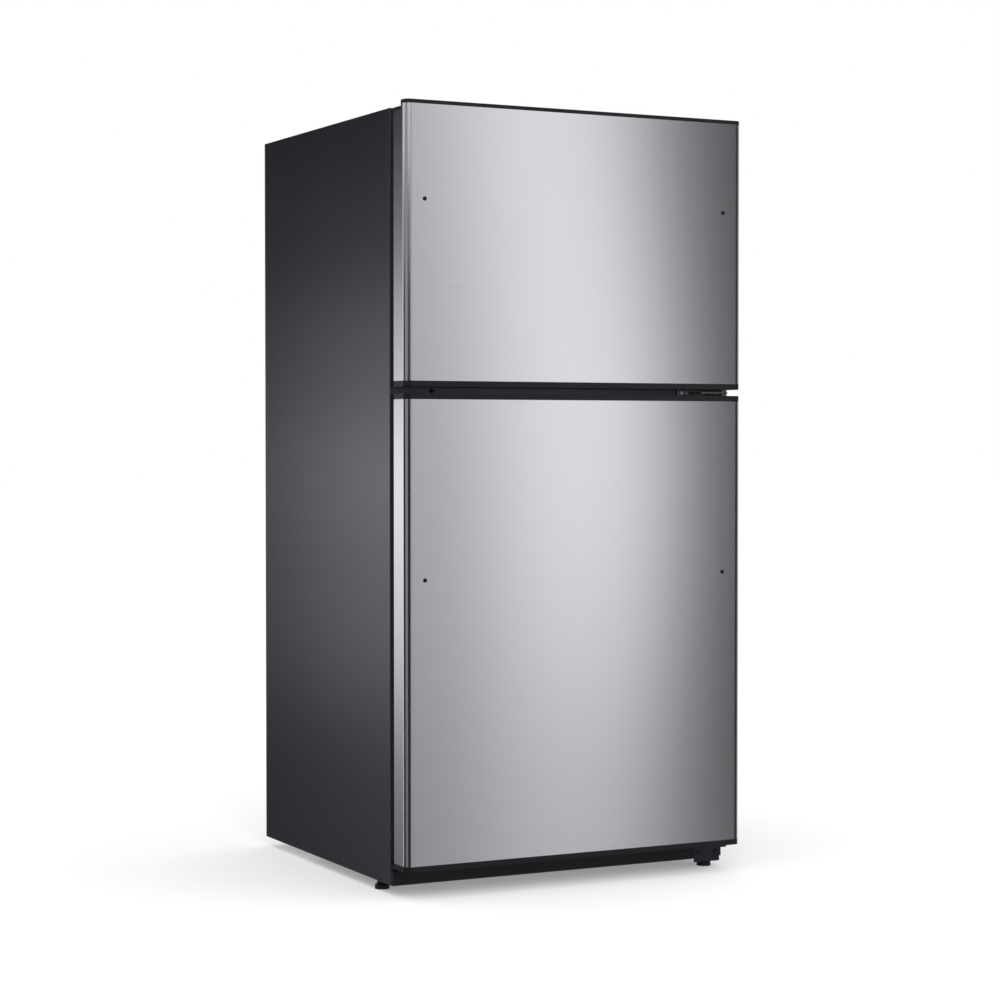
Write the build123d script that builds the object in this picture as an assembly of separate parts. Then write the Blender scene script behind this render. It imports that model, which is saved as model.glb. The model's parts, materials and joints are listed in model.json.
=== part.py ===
from build123d import *
import os

# A top freezer refrigerator, in millimetres. +X is to the right of someone facing it, the doors
# face -Y and +Z is up. The origin is on the floor, under the middle of the object's box.

# Outside
WIDTH = 832.0
CABINET_DEPTH = 728.0
CABINET_HEIGHT = 1659.0
FLOOR_CLEARANCE = 22.0
FRIDGE_SECTION = 1059.5
DOOR_THICKNESS = 60.0
DOOR_GAP = 20.0
DOOR_CORNER = 15.0
BETWEEN_DOORS = 14.0
FRIDGE_DOOR_RISE = 38.0
DOOR_CAP = 12.5
CAP_SPIGOT = 8.0

# Stepped top of the freezer door
LIP_RISE = 11.0
LIP_HEIGHT = 8.5
LIP_DEPTH = 23.0
TOP_CAP_DROP = 2.0
TOP_CAP_HEIGHT = 7.0
LIP_ROUND = 1.5

# Sheets and walls
SHEET = 1.0
RAIL_SHEET = 1.5
LINER = 2.0
LINER_LIP = 8.0
LINER_CORNER = 16.0
SIDE_WALL = 54.0
TOP_WALL = 60.0
BACK_WALL = 62.0
MULLION = 62.0
FRIDGE_FLOOR_RISE = 92.0
DECK_RISE = 40.0
BEND = 2.0
REAR_RIB = 4.0
REAR_RIB_WIDTH = 26.0
REAR_RIB_COUNT = 3
REAR_RIB_END_GAP = 90.0

# Machine compartment
MACHINE_DEPTH = 250.0
MACHINE_HEIGHT = 280.0
HUMP_WALL = 52.0
PAN_RISE = 14.0
PAN_SHEET = 2.0

# Clearances
FIT = 0.3
RUNNING = 0.08
SCREW_PLAY = 0.1

# Hinges
PIN_INSET = 24.0
PIN_FROM_DOOR_BACK = 20.0
PIN_RADIUS = 5.0
PIN_DEPTH = 13.0
COLLAR_RADIUS = 9.0
KNUCKLE_RADIUS = 11.0
HINGE_PLATE = 4.0
MIDDLE_FLANGE = 12.0
MIDDLE_FLANGE_SPAN = 108.0
MIDDLE_TONGUE_SPAN = 76.0
MIDDLE_SCREW_PITCH = 12.5
BOTTOM_HINGE_SPAN = 66.0
BOTTOM_HINGE_DROP = 10.0
TOP_PLATE = 3.0
TOP_PLATE_SPAN = 84.0
TOP_PLATE_LENGTH = 62.0
TOP_ARM_GAP = 3.0
TOP_ARM_WIDTH = 30.0
COVER_RISE = 18.0
COVER_WALL = 2.5
COVER_MARGIN = 8.0
SCREW_RADIUS = 2.5
SCREW_HEAD = 5.0
SCREW_HEAD_HEIGHT = 2.6

# Seals and door linings
GASKET_WIDTH = 16.0
GASKET_SIDE_INSET = 26.0
GASKET_END_INSET = 24.0
GASKET_MULLION_INSET = 2.0
DOOR_RETURN = 12.0
DIKE_CLEARANCE = 14.0
DIKE_WIDTH = 40.0
DIKE_REACH = 22.0
DIKE_ROUND = 4.0
PLUG_LEFT_INSET = 45.0
PLUG_RIGHT_INSET = 49.0
PLUG_FROM_SPLIT = 402.5
PLUG_RADIUS = 4.5
PLUG_HEIGHT = 1.6
PLUG_SHANK = 3.0
PLUG_LENGTH = 9.0

# Door bins
BIN_WALL = 2.5
BIN_ROUND = 24.0
BIN_HEIGHT = 96.0
BIN_DEPTH = 90.0
BOTTLE_BIN_HEIGHT = 150.0
BOTTLE_BIN_DEPTH = 72.0
BIN_RISE = 22.0
FREEZER_BIN_COUNT = 2
FRIDGE_BIN_COUNT = 2
DAIRY_HEIGHT = 58.0
DAIRY_DEPTH = 78.0
DAIRY_HEADROOM = 96.0
DAIRY_PIVOT_RISE = 26.0
DAIRY_PIVOT_OUT = 22.0
DAIRY_PIN = 4.0
LID_WALL = 3.0
LID_GAP = 1.0
LID_EAR = 10.0
LID_LIFT = 6.0
LID_OVERLAP = 34.0

# Inside fittings
SHELF_FRONT = 120.0
SHELF_FRAME = 14.0
SHELF_RAIL = 16.0
SHELF_GLASS = 4.0
SHELF_COUNT = 2
SHELF_SIDE_GAP = 2.0
RIB_REACH = 12.0
RIB_HEIGHT = 10.0
EVAPORATOR_ZONE = 86.0
COVER_PANEL = 3.0
CRISPER_FRONT = 138.0
CRISPER_WALL = 2.5
CRISPER_ROUND = 18.0
CRISPER_SIDE_GAP = 8.0
CRISPER_TOP_GAP = 4.0
CRISPER_PULL = 14.0
CRISPER_PULL_HEIGHT = 12.0
RUNNER_HEIGHT = 5.0
RUNNER_WIDTH = 10.0
RUNNER_INSET = 40.0
CONSOLE_WIDTH = 320.0
CONSOLE_DEPTH = 120.0
CONSOLE_HEIGHT = 58.0
CONSOLE_FRONT = 170.0
CONSOLE_WALL = 3.0
LENS_INSET = 14.0
KNOB_RADIUS = 19.0
KNOB_DEPTH = 15.0
KNOB_GRIP = 7.0
KNOB_GRIP_MARGIN = 2.0
KNOB_STEM = 4.0
KNOB_STEM_LENGTH = 12.0
KNOB_OFFSET = 80.0
SWITCH_INSET = 120.0
SWITCH_WIDTH = 26.0
SWITCH_LENGTH = 60.0
SWITCH_HEIGHT = 40.0
SWITCH_GAP = 14.0
PLUNGER_RADIUS = 5.0
PLUNGER_DEPTH = 24.0

# Cold and hot machinery
EVAPORATOR_WIDTH = 560.0
COIL_FAN_GAP = 60.0
EVAPORATOR_DEPTH = 56.0
EVAPORATOR_RISE = 24.0
FIN_COUNT = 25
FIN = 1.0
TUBE_RADIUS = 4.0
TUBE_ROWS = 6
HEATER_DROP = 14.0
FAN_BLADES = 5
BLADE_THICKNESS = 2.0
BLADE_PITCH = 28.0
COLD_FAN_RADIUS = 52.0
COLD_FAN_DROP = 110.0
HOT_FAN_RADIUS = 72.0
FAN_HUB = 16.0
FAN_DEPTH = 22.0
BLADE_CHORD = 35.0
FAN_MOTOR_GAP = 1.2
FAN_SHAFT = 3.0
MOTOR_RADIUS = 24.0
MOTOR_LENGTH = 30.0
GRILLE_RINGS = 4
GRILLE_SLOT = 6.0
VENT_COUNT = 12
VENT_WIDTH = 30.0
VENT_HEIGHT = 8.0
COMPRESSOR_RADIUS = 88.0
COMPRESSOR_HEIGHT = 165.0
COMPRESSOR_INSET = 186.0
COMPRESSOR_PLATE_DEPTH = 160.0
COMPRESSOR_DOME = 48.4
SEAM_RADIUS = 3.0
SEAM_HEIGHT = 6.0
COMPRESSOR_PLATE = 3.0
COMPRESSOR_PLATE_WIDTH = 200.0
GROMMET_RADIUS = 11.0
GROMMET_INSET = 13.0
GROMMET_HEIGHT = 14.0
CONDENSER_FAN_GAP = 50.0
CONDENSER_PAN_GAP = 25.0
CONDENSER_PITCH = 26.0
CONDENSER_PASSES = 7
CONDENSER_LAYERS = 3
CONDENSER_TUBE = 3.0
CONDENSER_PLATE = 2.0
CONDENSER_RISE = 12.0
HOT_FAN_FROM_COMPRESSOR = 185.0
DRAIN_PAN_WIDTH = 170.0
DRAIN_PAN_DEPTH = 140.0
DRAIN_PAN_HEIGHT = 34.0
DRAIN_PAN_WALL = 2.0
DRAIN_PAN_INSET = 36.0
LINE_RADIUS = 3.5
LINE_BEND = 22.0
SLOT_COUNT = 22
SLOT_WIDTH = 8.0
SLOT_HEIGHT = 90.0
MACHINE_COVER_GAP = 6.0
GLAND_RADIUS = 9.0
GLAND_HOLE = 4.5
GLAND_INSET = 86.0
GLAND_RISE = 60.0

# Base
KICK_DEPTH = 15.0
KICK_WALL = 2.5
KICK_CLEARANCE = 5.0
KICK_ROUND = 4.0
FOOT_FLANGE = 120.0
FOOT_RADIUS = 16.0
FOOT_HEIGHT = 10.0
FOOT_STUD = 5.0
FOOT_STUD_LENGTH = 34.0
FOOT_RIGHT_INSET = 36.0
FOOT_RIGHT_BACK = 18.0
FOOT_LEFT_INSET = 20.0
FOOT_LEFT_BACK = 88.0
ROLLER_RADIUS = 22.0
ROLLER_WIDTH = 24.0
ROLLER_INSET = 70.0
ROLLER_FROM_BACK = 70.0
ROLLER_AXLE = 4.0
ROLLER_SIDE_GAP = 1.0
ROLLER_WELL_GAP = 5.0
CHEEK = 3.0
CHEEK_WIDTH = 20.0

# Planes worked out from the sizes above
HALF = WIDTH / 2
DEPTH = CABINET_DEPTH + DOOR_GAP + DOOR_THICKNESS + PLUG_HEIGHT
DOOR_FRONT = PLUG_HEIGHT - DEPTH / 2
DOOR_BACK = DOOR_FRONT + DOOR_THICKNESS
CABINET_FRONT = DOOR_BACK + DOOR_GAP
CABINET_BACK = CABINET_FRONT + CABINET_DEPTH
PANEL_FRONT = CABINET_BACK - REAR_RIB - SHEET
CABINET_BOTTOM = FLOOR_CLEARANCE
CABINET_TOP = CABINET_BOTTOM + CABINET_HEIGHT
SPLIT = CABINET_BOTTOM + FRIDGE_SECTION
DECK = CABINET_BOTTOM + DECK_RISE
MACHINE_TOP = CABINET_BOTTOM + MACHINE_HEIGHT
MACHINE_FRONT = CABINET_BACK - MACHINE_DEPTH
PAN_TOP = CABINET_BOTTOM + PAN_RISE + PAN_SHEET
INNER_HALF = HALF - SIDE_WALL
INNER_BACK = CABINET_BACK - BACK_WALL
FRIDGE_FLOOR = CABINET_BOTTOM + FRIDGE_FLOOR_RISE
FRIDGE_CEILING = SPLIT - MULLION / 2
FREEZER_FLOOR = SPLIT + MULLION / 2
FREEZER_CEILING = CABINET_TOP - TOP_WALL
HUMP_FRONT = MACHINE_FRONT - HUMP_WALL
HUMP_TOP = MACHINE_TOP + HUMP_WALL
FRONT_RETURN = SIDE_WALL - LINER_LIP
FREEZER_DOOR_BOTTOM = SPLIT + BETWEEN_DOORS / 2
FREEZER_STEEL_BOTTOM = FREEZER_DOOR_BOTTOM + DOOR_CAP
FREEZER_CAP_TOP = CABINET_TOP - TOP_CAP_DROP
FREEZER_SIDE_TOP = FREEZER_CAP_TOP - TOP_CAP_HEIGHT
LIP_TOP = CABINET_TOP + LIP_RISE
FREEZER_STEEL_TOP = LIP_TOP - LIP_HEIGHT
LIP_BACK = DOOR_FRONT + LIP_DEPTH
FRIDGE_DOOR_TOP = SPLIT - BETWEEN_DOORS / 2
FRIDGE_STEEL_TOP = FRIDGE_DOOR_TOP - DOOR_CAP
FRIDGE_DOOR_BOTTOM = CABINET_BOTTOM + FRIDGE_DOOR_RISE
FRIDGE_STEEL_BOTTOM = FRIDGE_DOOR_BOTTOM + DOOR_CAP
PIN_X = HALF - PIN_INSET
PIN_Y = DOOR_BACK - PIN_FROM_DOOR_BACK
DIKE_HALF = INNER_HALF - DIKE_CLEARANCE
BIN_HALF = DIKE_HALF - DIKE_WIDTH - FIT
FREEZER_DIKE = (FREEZER_FLOOR + DIKE_CLEARANCE, FREEZER_CEILING - DIKE_CLEARANCE)
FRIDGE_DIKE = (FRIDGE_FLOOR + DIKE_CLEARANCE, FRIDGE_CEILING - DIKE_CLEARANCE)
SHELF_HALF = INNER_HALF - SHELF_SIDE_GAP
COLD_COVER_Y = INNER_BACK - EVAPORATOR_ZONE
CRISPER_COVER_TOP = HUMP_TOP + SHELF_FRAME
SHELF_PITCH = (FRIDGE_CEILING - CRISPER_COVER_TOP) / (SHELF_COUNT + 1)
SHELF_BASES = [CRISPER_COVER_TOP + SHELF_PITCH * (i + 1) - SHELF_FRAME for i in range(SHELF_COUNT)]
FREEZER_SHELF_BASE = (FREEZER_FLOOR + FREEZER_CEILING) / 2
MACHINE_MIDDLE = (MACHINE_FRONT + PANEL_FRONT) / 2
COLD_FAN_Z = FREEZER_CEILING - COLD_FAN_DROP
COIL_BOTTOM = FREEZER_FLOOR + EVAPORATOR_RISE
COIL_TOP = COLD_FAN_Z - COLD_FAN_RADIUS - COIL_FAN_GAP
COMPRESSOR_X = -HALF + COMPRESSOR_INSET
HOT_FAN_X = COMPRESSOR_X + HOT_FAN_FROM_COMPRESSOR
DRAIN_PAN_X = (HALF - DRAIN_PAN_INSET - DRAIN_PAN_WIDTH, HALF - DRAIN_PAN_INSET)
CONDENSER_X = (HOT_FAN_X + CONDENSER_FAN_GAP, DRAIN_PAN_X[0] - CONDENSER_PAN_GAP)
GLAND_X = -HALF + GLAND_INSET
HOT_FAN_Z = PAN_TOP + HOT_FAN_RADIUS + GROMMET_HEIGHT
DAIRY_BASE = FRIDGE_DIKE[1] - DIKE_WIDTH - DAIRY_HEADROOM - DAIRY_HEIGHT - DAIRY_PIVOT_RISE
DAIRY_PIVOT = (DOOR_BACK + DAIRY_PIVOT_OUT, DAIRY_BASE + DAIRY_HEIGHT + DAIRY_PIVOT_RISE)


def block(x, y, z):
    """A box between three (low, high) pairs."""
    size = [high - low for low, high in (x, y, z)]
    middle = [(high + low) / 2 for low, high in (x, y, z)]
    return Pos(*middle) * Box(*size)


def span(half):
    return (-half, half)


def span_about(middle, half):
    return (middle - half, middle + half)


def rod_x(x, y, z, radius):
    return Pos((x[0] + x[1]) / 2, y, z) * Rot(0, 90, 0) * Cylinder(radius, x[1] - x[0])


def rod_y(x, y, z, radius):
    return Pos(x, (y[0] + y[1]) / 2, z) * Rot(90, 0, 0) * Cylinder(radius, y[1] - y[0])


def rod_z(x, y, z, radius):
    return Pos(x, y, (z[0] + z[1]) / 2) * Cylinder(radius, z[1] - z[0])


def mirrored(shape):
    return mirror(shape, about=Plane.YZ)


def frame_ring(half, z, width, y):
    """A rectangular frame that stands upright, between two planes across Y."""
    outer = block(span(half), y, z)
    return outer - block(span(half - width), y, (z[0] + width, z[1] - width))


def save(shape, name):
    shape.label = name
    export_step(shape, os.path.join("parts", name + ".step"))


# Cabinet shell

def freezer_cavity(grow):
    """The space inside the freezer liner, grown by a wall thickness."""
    x = span(INNER_HALF + grow)
    z = (FREEZER_FLOOR - grow, FREEZER_CEILING + grow)
    space = block(x, (CABINET_FRONT, INNER_BACK + grow), z)
    return fillet(space.edges().filter_by(Axis.Y), LINER_CORNER + grow)


def fridge_cavity(grow):
    """The space inside the fridge liner, with the step over the machine compartment."""
    x = span(INNER_HALF + grow)
    z = (FRIDGE_FLOOR - grow, FRIDGE_CEILING + grow)
    space = block(x, (CABINET_FRONT, INNER_BACK + grow), z)
    step = block(x, (HUMP_FRONT + grow, INNER_BACK + grow), (z[0], HUMP_TOP - grow))
    edges = (space - step).edges().filter_by(Axis.Y).sort_by(Axis.Z)
    return fillet(edges[:2] + edges[-2:], LINER_CORNER + grow)


def side_panel():
    """The right side: one sheet, folded in at the front round the door opening."""
    x = (HALF - FRONT_RETURN, HALF)
    z = (CABINET_BOTTOM, CABINET_TOP)
    outer = block(x, (CABINET_FRONT, PANEL_FRONT), z)
    inner = block((x[0], HALF - SHEET), (CABINET_FRONT + SHEET, PANEL_FRONT), z)
    outer = fillet(outer.edges().filter_by(Axis.Z).sort_by(Axis.Y)[:2].sort_by(Axis.X)[-1:], BEND)
    return outer - inner


def top_panel():
    z = (CABINET_TOP - SHEET, CABINET_TOP)
    sheet = block(span(HALF - SHEET), (CABINET_FRONT + SHEET, PANEL_FRONT), z)
    fold = (CABINET_TOP - TOP_WALL + LINER_LIP, CABINET_TOP)
    return sheet + block(span(HALF - FRONT_RETURN), (CABINET_FRONT, CABINET_FRONT + SHEET), fold)


def rear_panel():
    """The back sheet, stiffened by pressed upright ribs."""
    z = (MACHINE_TOP, CABINET_TOP)
    panel = block(span(HALF), (PANEL_FRONT, PANEL_FRONT + SHEET), z)
    pitch = WIDTH / REAR_RIB_COUNT
    rib_z = (z[0] + REAR_RIB_END_GAP, z[1] - REAR_RIB_END_GAP)
    for i in range(REAR_RIB_COUNT):
        middle = -HALF + pitch * (i + 0.5)
        rib_x = (middle - REAR_RIB_WIDTH / 2, middle + REAR_RIB_WIDTH / 2)
        rib = block(rib_x, (PANEL_FRONT, CABINET_BACK), rib_z)
        back = rib.faces().sort_by(Axis.Y)[-1]
        panel = panel + chamfer(back.edges(), REAR_RIB - SHEET)
    return panel


def base_deck():
    """The folded floor of the cabinet: sill, foot flange, deck, and step over the machinery."""
    inner = span(HALF - SHEET)
    sill_z = (CABINET_BOTTOM, FRIDGE_FLOOR - LINER_LIP)
    deck = block(span(HALF - FRONT_RETURN), (CABINET_FRONT, CABINET_FRONT + RAIL_SHEET), sill_z)
    flange_z = (CABINET_BOTTOM, CABINET_BOTTOM + RAIL_SHEET)
    deck = deck + block(inner, (CABINET_FRONT + SHEET, CABINET_FRONT + FOOT_FLANGE), flange_z)
    deck = deck + block(inner, (CABINET_FRONT + SHEET, MACHINE_FRONT), (DECK, DECK + SHEET))
    step_y = (MACHINE_FRONT - SHEET, MACHINE_FRONT)
    deck = deck + block(inner, step_y, (DECK, MACHINE_TOP + SHEET))
    roof_z = (MACHINE_TOP, MACHINE_TOP + SHEET)
    deck = deck + block(inner, (MACHINE_FRONT - SHEET, PANEL_FRONT), roof_z)
    for x, y in FOOT_PLACES:
        deck = deck - rod_z(x, y, flange_z, FOOT_STUD + RUNNING)
    return deck


def insulation():
    """One foamed body that fills the walls and the divider between the two liners."""
    y = (CABINET_FRONT + LINER, PANEL_FRONT)
    body = block(span(HALF - SHEET), y, (DECK + SHEET, CABINET_TOP - SHEET))
    machine_y = (MACHINE_FRONT - SHEET, PANEL_FRONT)
    body = body - block(span(HALF), machine_y, (CABINET_BOTTOM, MACHINE_TOP + SHEET))
    return body - freezer_cavity(LINER) - fridge_cavity(LINER)


def liner_lip(z, cavity):
    """The flat edge of a liner round its opening."""
    x = span(INNER_HALF + LINER_LIP)
    lip = block(x, (CABINET_FRONT, CABINET_FRONT + LINER), (z[0] - LINER_LIP, z[1] + LINER_LIP))
    return lip - cavity


def shelf_rib(base, y):
    """A moulded ledge on the right wall that carries a shelf frame."""
    return block((INNER_HALF - RIB_REACH, INNER_HALF + LINER / 2), y, (base - RIB_HEIGHT, base))


def with_ledges(liner, bases, y):
    for base in bases:
        rib = shelf_rib(base, y)
        liner = liner + rib + mirrored(rib)
    return liner


def freezer_liner():
    liner = freezer_cavity(LINER) - freezer_cavity(0)
    liner = liner + liner_lip((FREEZER_FLOOR, FREEZER_CEILING), freezer_cavity(0))
    return with_ledges(liner, [FREEZER_SHELF_BASE], (CABINET_FRONT + SHELF_FRONT, COLD_COVER_Y - FIT))


def fridge_liner():
    liner = fridge_cavity(LINER) - fridge_cavity(0)
    liner = liner + liner_lip((FRIDGE_FLOOR, FRIDGE_CEILING), fridge_cavity(0))
    liner = with_ledges(liner, SHELF_BASES, (CABINET_FRONT + SHELF_FRONT, INNER_BACK))
    liner = with_ledges(liner, [HUMP_TOP], (CABINET_FRONT + SHELF_FRONT, HUMP_FRONT))
    for inset in (RUNNER_INSET, INNER_HALF - RUNNER_INSET):
        runner_z = (FRIDGE_FLOOR - LINER / 2, FRIDGE_FLOOR + RUNNER_HEIGHT)
        runner_y = (CABINET_FRONT + SHELF_FRONT, HUMP_FRONT)
        runner = block((inset - RUNNER_WIDTH / 2, inset + RUNNER_WIDTH / 2), runner_y, runner_z)
        liner = liner + runner + mirrored(runner)
    return liner


def mullion_plate():
    z = (FRIDGE_CEILING + LINER_LIP, FREEZER_FLOOR - LINER_LIP)
    return block(span(HALF - FRONT_RETURN), (CABINET_FRONT, CABINET_FRONT + LINER), z)


def kick_plate():
    """The toe cover under the doors, cut short at the right for the bottom hinge."""
    x = (-HALF, BOTTOM_HINGE_LEFT - KICK_CLEARANCE)
    y = (CABINET_FRONT - KICK_DEPTH, CABINET_FRONT)
    z = (CABINET_BOTTOM, FRIDGE_DOOR_BOTTOM - KICK_CLEARANCE)
    outer = block(x, y, z)
    front = outer.faces().sort_by(Axis.Y)[0]
    outer = fillet(front.edges().filter_by(Axis.X), KICK_ROUND)
    inside_x = (x[0] + KICK_WALL, x[1] - KICK_WALL)
    return outer - block(inside_x, (y[0] + KICK_WALL, y[1]), (z[0] + KICK_WALL, z[1] - KICK_WALL))


# Hinges

def round_tongue(left, right, y, z):
    """A flat tongue whose front end is round about the hinge pin."""
    tongue = block((left, right), (PIN_Y, y), z)
    nose = block((left + KNUCKLE_RADIUS, PIN_X), (PIN_Y - KNUCKLE_RADIUS, PIN_Y), z)
    left_round = rod_z(left + KNUCKLE_RADIUS, PIN_Y, z, KNUCKLE_RADIUS)
    return tongue + nose + left_round + rod_z(PIN_X, PIN_Y, z, KNUCKLE_RADIUS)


def screw_hole_y(x, z, y):
    return rod_y(x, y, z, SCREW_RADIUS + SCREW_PLAY)


def middle_hinge():
    """A plate on the divider with a pin up into the freezer door and down into the fridge door."""
    right = PIN_X + KNUCKLE_RADIUS
    plate_z = (SPLIT - HINGE_PLATE / 2, SPLIT + HINGE_PLATE / 2)
    flange_y = (CABINET_FRONT - HINGE_PLATE, CABINET_FRONT)
    flange_z = (SPLIT - MIDDLE_FLANGE / 2, SPLIT + MIDDLE_FLANGE / 2)
    hinge = block((right - MIDDLE_FLANGE_SPAN, right), flange_y, flange_z)
    hinge = hinge + round_tongue(right - MIDDLE_TONGUE_SPAN, right, CABINET_FRONT, plate_z)
    pins_z = (FRIDGE_DOOR_TOP - PIN_DEPTH, FREEZER_DOOR_BOTTOM + PIN_DEPTH)
    hinge = hinge + rod_z(PIN_X, PIN_Y, pins_z, PIN_RADIUS)
    collar_z = (FRIDGE_DOOR_TOP + FIT, FREEZER_DOOR_BOTTOM - FIT)
    hinge = hinge + rod_z(PIN_X, PIN_Y, collar_z, COLLAR_RADIUS)
    for x in MIDDLE_SCREWS:
        hinge = hinge - screw_hole_y(x, SPLIT, flange_y)
    return hinge


def bottom_hinge():
    """A bracket on the sill with a tongue under the fridge door and a pin up into it."""
    right = BOTTOM_HINGE_LEFT + BOTTOM_HINGE_SPAN
    leg_y = (CABINET_FRONT - HINGE_PLATE, CABINET_FRONT)
    leg_z = (CABINET_BOTTOM - BOTTOM_HINGE_DROP, BOTTOM_TONGUE[1])
    hinge = block((BOTTOM_HINGE_LEFT, right), leg_y, leg_z)
    tongue_right = PIN_X + KNUCKLE_RADIUS
    hinge = hinge + round_tongue(BOTTOM_HINGE_LEFT, tongue_right, CABINET_FRONT, BOTTOM_TONGUE)
    hinge = hinge + rod_z(PIN_X, PIN_Y, (BOTTOM_TONGUE[0], FRIDGE_DOOR_BOTTOM + PIN_DEPTH), PIN_RADIUS)
    collar_z = (BOTTOM_TONGUE[0], FRIDGE_DOOR_BOTTOM - FIT)
    hinge = hinge + rod_z(PIN_X, PIN_Y, collar_z, COLLAR_RADIUS)
    for x in BOTTOM_SCREWS:
        hinge = hinge - screw_hole_y(x, BOTTOM_SCREW_Z, leg_y)
    return hinge


def top_hinge():
    """A plate on the cabinet top whose arm passes left of the swinging door lip to the pin."""
    z = (CABINET_TOP, CABINET_TOP + TOP_PLATE)
    plate_x = (TOP_PLATE_RIGHT - TOP_PLATE_SPAN, TOP_PLATE_RIGHT)
    plate = block(plate_x, TOP_PLATE_Y, z)
    arm_x = (PIN_X - TOP_ARM_GAP - TOP_ARM_WIDTH, PIN_X - TOP_ARM_GAP)
    arm = block(arm_x, (PIN_Y, TOP_PLATE_Y[1]), z)
    nose = block((arm_x[1] - TOP_ARM_GAP, PIN_X), (PIN_Y - KNUCKLE_RADIUS, PIN_Y + KNUCKLE_RADIUS), z)
    hinge = plate + arm + nose + rod_z(PIN_X, PIN_Y, z, KNUCKLE_RADIUS)
    pin_z = (FREEZER_CAP_TOP - PIN_DEPTH, CABINET_TOP + TOP_PLATE)
    hinge = hinge + rod_z(PIN_X, PIN_Y, pin_z, PIN_RADIUS)
    for x, y in TOP_SCREWS:
        hinge = hinge - rod_z(x, y, z, SCREW_RADIUS + SCREW_PLAY)
    return hinge


def top_hinge_cover():
    """A moulded cap over the top hinge, open below and notched for the arm."""
    x = (TOP_PLATE_RIGHT - TOP_PLATE_SPAN - COVER_MARGIN, TOP_PLATE_RIGHT + COVER_MARGIN)
    y = (TOP_PLATE_Y[0] - COVER_MARGIN, TOP_PLATE_Y[1] + COVER_MARGIN)
    z = (CABINET_TOP, CABINET_TOP + COVER_RISE)
    outer = block(x, y, z)
    outer = fillet(outer.edges().filter_by(Axis.Z), COVER_MARGIN)
    outer = fillet(outer.faces().sort_by(Axis.Z)[-1].edges(), COVER_WALL)
    inside_x = (x[0] + COVER_WALL, x[1] - COVER_WALL)
    inside_y = (y[0] + COVER_WALL, y[1] - COVER_WALL)
    inner = block(inside_x, inside_y, (z[0], z[1] - COVER_WALL))
    inner = fillet(inner.edges().filter_by(Axis.Z), COVER_MARGIN - COVER_WALL)
    notch_x = (PIN_X - TOP_ARM_GAP - TOP_ARM_WIDTH - FIT, PIN_X - TOP_ARM_GAP + FIT)
    notch = block(notch_x, (y[0], TOP_PLATE_Y[0]), (z[0], z[0] + TOP_PLATE + FIT))
    return outer - inner - notch


def hinge_screws():
    """The hinges' pan-head screws, each as long as the plate that it holds."""
    screws = []
    for places, z in ((MIDDLE_SCREWS, SPLIT), (BOTTOM_SCREWS, BOTTOM_SCREW_Z)):
        for x in places:
            face = CABINET_FRONT - HINGE_PLATE
            head = rod_y(x, (face - SCREW_HEAD_HEIGHT, face), z, SCREW_HEAD)
            head = fillet(head.faces().sort_by(Axis.Y)[0].edges(), SCREW_HEAD_HEIGHT / 2)
            screws.append(head + rod_y(x, (face, CABINET_FRONT), z, SCREW_RADIUS))
    for x, y in TOP_SCREWS:
        face = CABINET_TOP + TOP_PLATE
        head = rod_z(x, y, (face, face + SCREW_HEAD_HEIGHT), SCREW_HEAD)
        head = fillet(head.faces().sort_by(Axis.Z)[-1].edges(), SCREW_HEAD_HEIGHT / 2)
        screws.append(head + rod_z(x, y, (CABINET_TOP, face), SCREW_RADIUS))
    return Compound(children=screws)


# Doors

def door_prism(z, inset=0.0, back=DOOR_BACK):
    """The door's plan outline, round at its front corners, drawn up between two heights."""
    prism = block(span(HALF - inset), (DOOR_FRONT + inset, back), z)
    corners = prism.edges().filter_by(Axis.Z).sort_by(Axis.Y)[:2]
    return fillet(corners, DOOR_CORNER - inset)


def door_skin(z, plug_z):
    """The steel front, wrapped round both sides and folded in at the back."""
    skin = door_prism(z) - door_prism(z, SHEET, DOOR_BACK - SHEET)
    skin = skin - block(span(HALF - DOOR_RETURN), (DOOR_BACK - SHEET, DOOR_BACK), z)
    for x in PLUG_PLACES:
        skin = skin - rod_y(x, (DOOR_FRONT, DOOR_FRONT + SHEET), plug_z, PLUG_SHANK)
    return skin


def freezer_skin():
    skin = door_skin((FREEZER_STEEL_BOTTOM, FREEZER_STEEL_TOP), SPLIT + PLUG_FROM_SPLIT)
    return skin - block(span(HALF), (LIP_BACK, DOOR_BACK), (FREEZER_SIDE_TOP, FREEZER_STEEL_TOP))


def pin_bore(z):
    return rod_z(PIN_X, PIN_Y, z, PIN_RADIUS + RUNNING)


def spigot(z):
    """The part of an end cap that enters the steel skin."""
    return door_prism(z, SHEET, DOOR_BACK - LINER)


def end_cap(z, spigot_z):
    cap = door_prism(z) + spigot(spigot_z)
    whole = (min(z[0], spigot_z[0]), max(z[1], spigot_z[1]))
    return cap - pin_bore(whole)


def freezer_top_cap():
    """The top cap: a raised lip along the front, lower behind it to pass under the hinge."""
    lip = door_prism((FREEZER_STEEL_TOP, LIP_TOP), 0.0, LIP_BACK)
    lip = fillet(lip.faces().sort_by(Axis.Z)[-1].edges(), LIP_ROUND)
    core = door_prism((FREEZER_SIDE_TOP, FREEZER_STEEL_TOP), SHEET, LIP_BACK)
    back = door_prism((FREEZER_SIDE_TOP, FREEZER_CAP_TOP))
    back = back - block(span(HALF), (DOOR_FRONT, LIP_BACK), (FREEZER_SIDE_TOP, FREEZER_CAP_TOP))
    inside = (FREEZER_SIDE_TOP - CAP_SPIGOT, FREEZER_SIDE_TOP)
    cap = lip + core + back + spigot(inside)
    return cap - pin_bore((inside[0], FREEZER_CAP_TOP))


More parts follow.
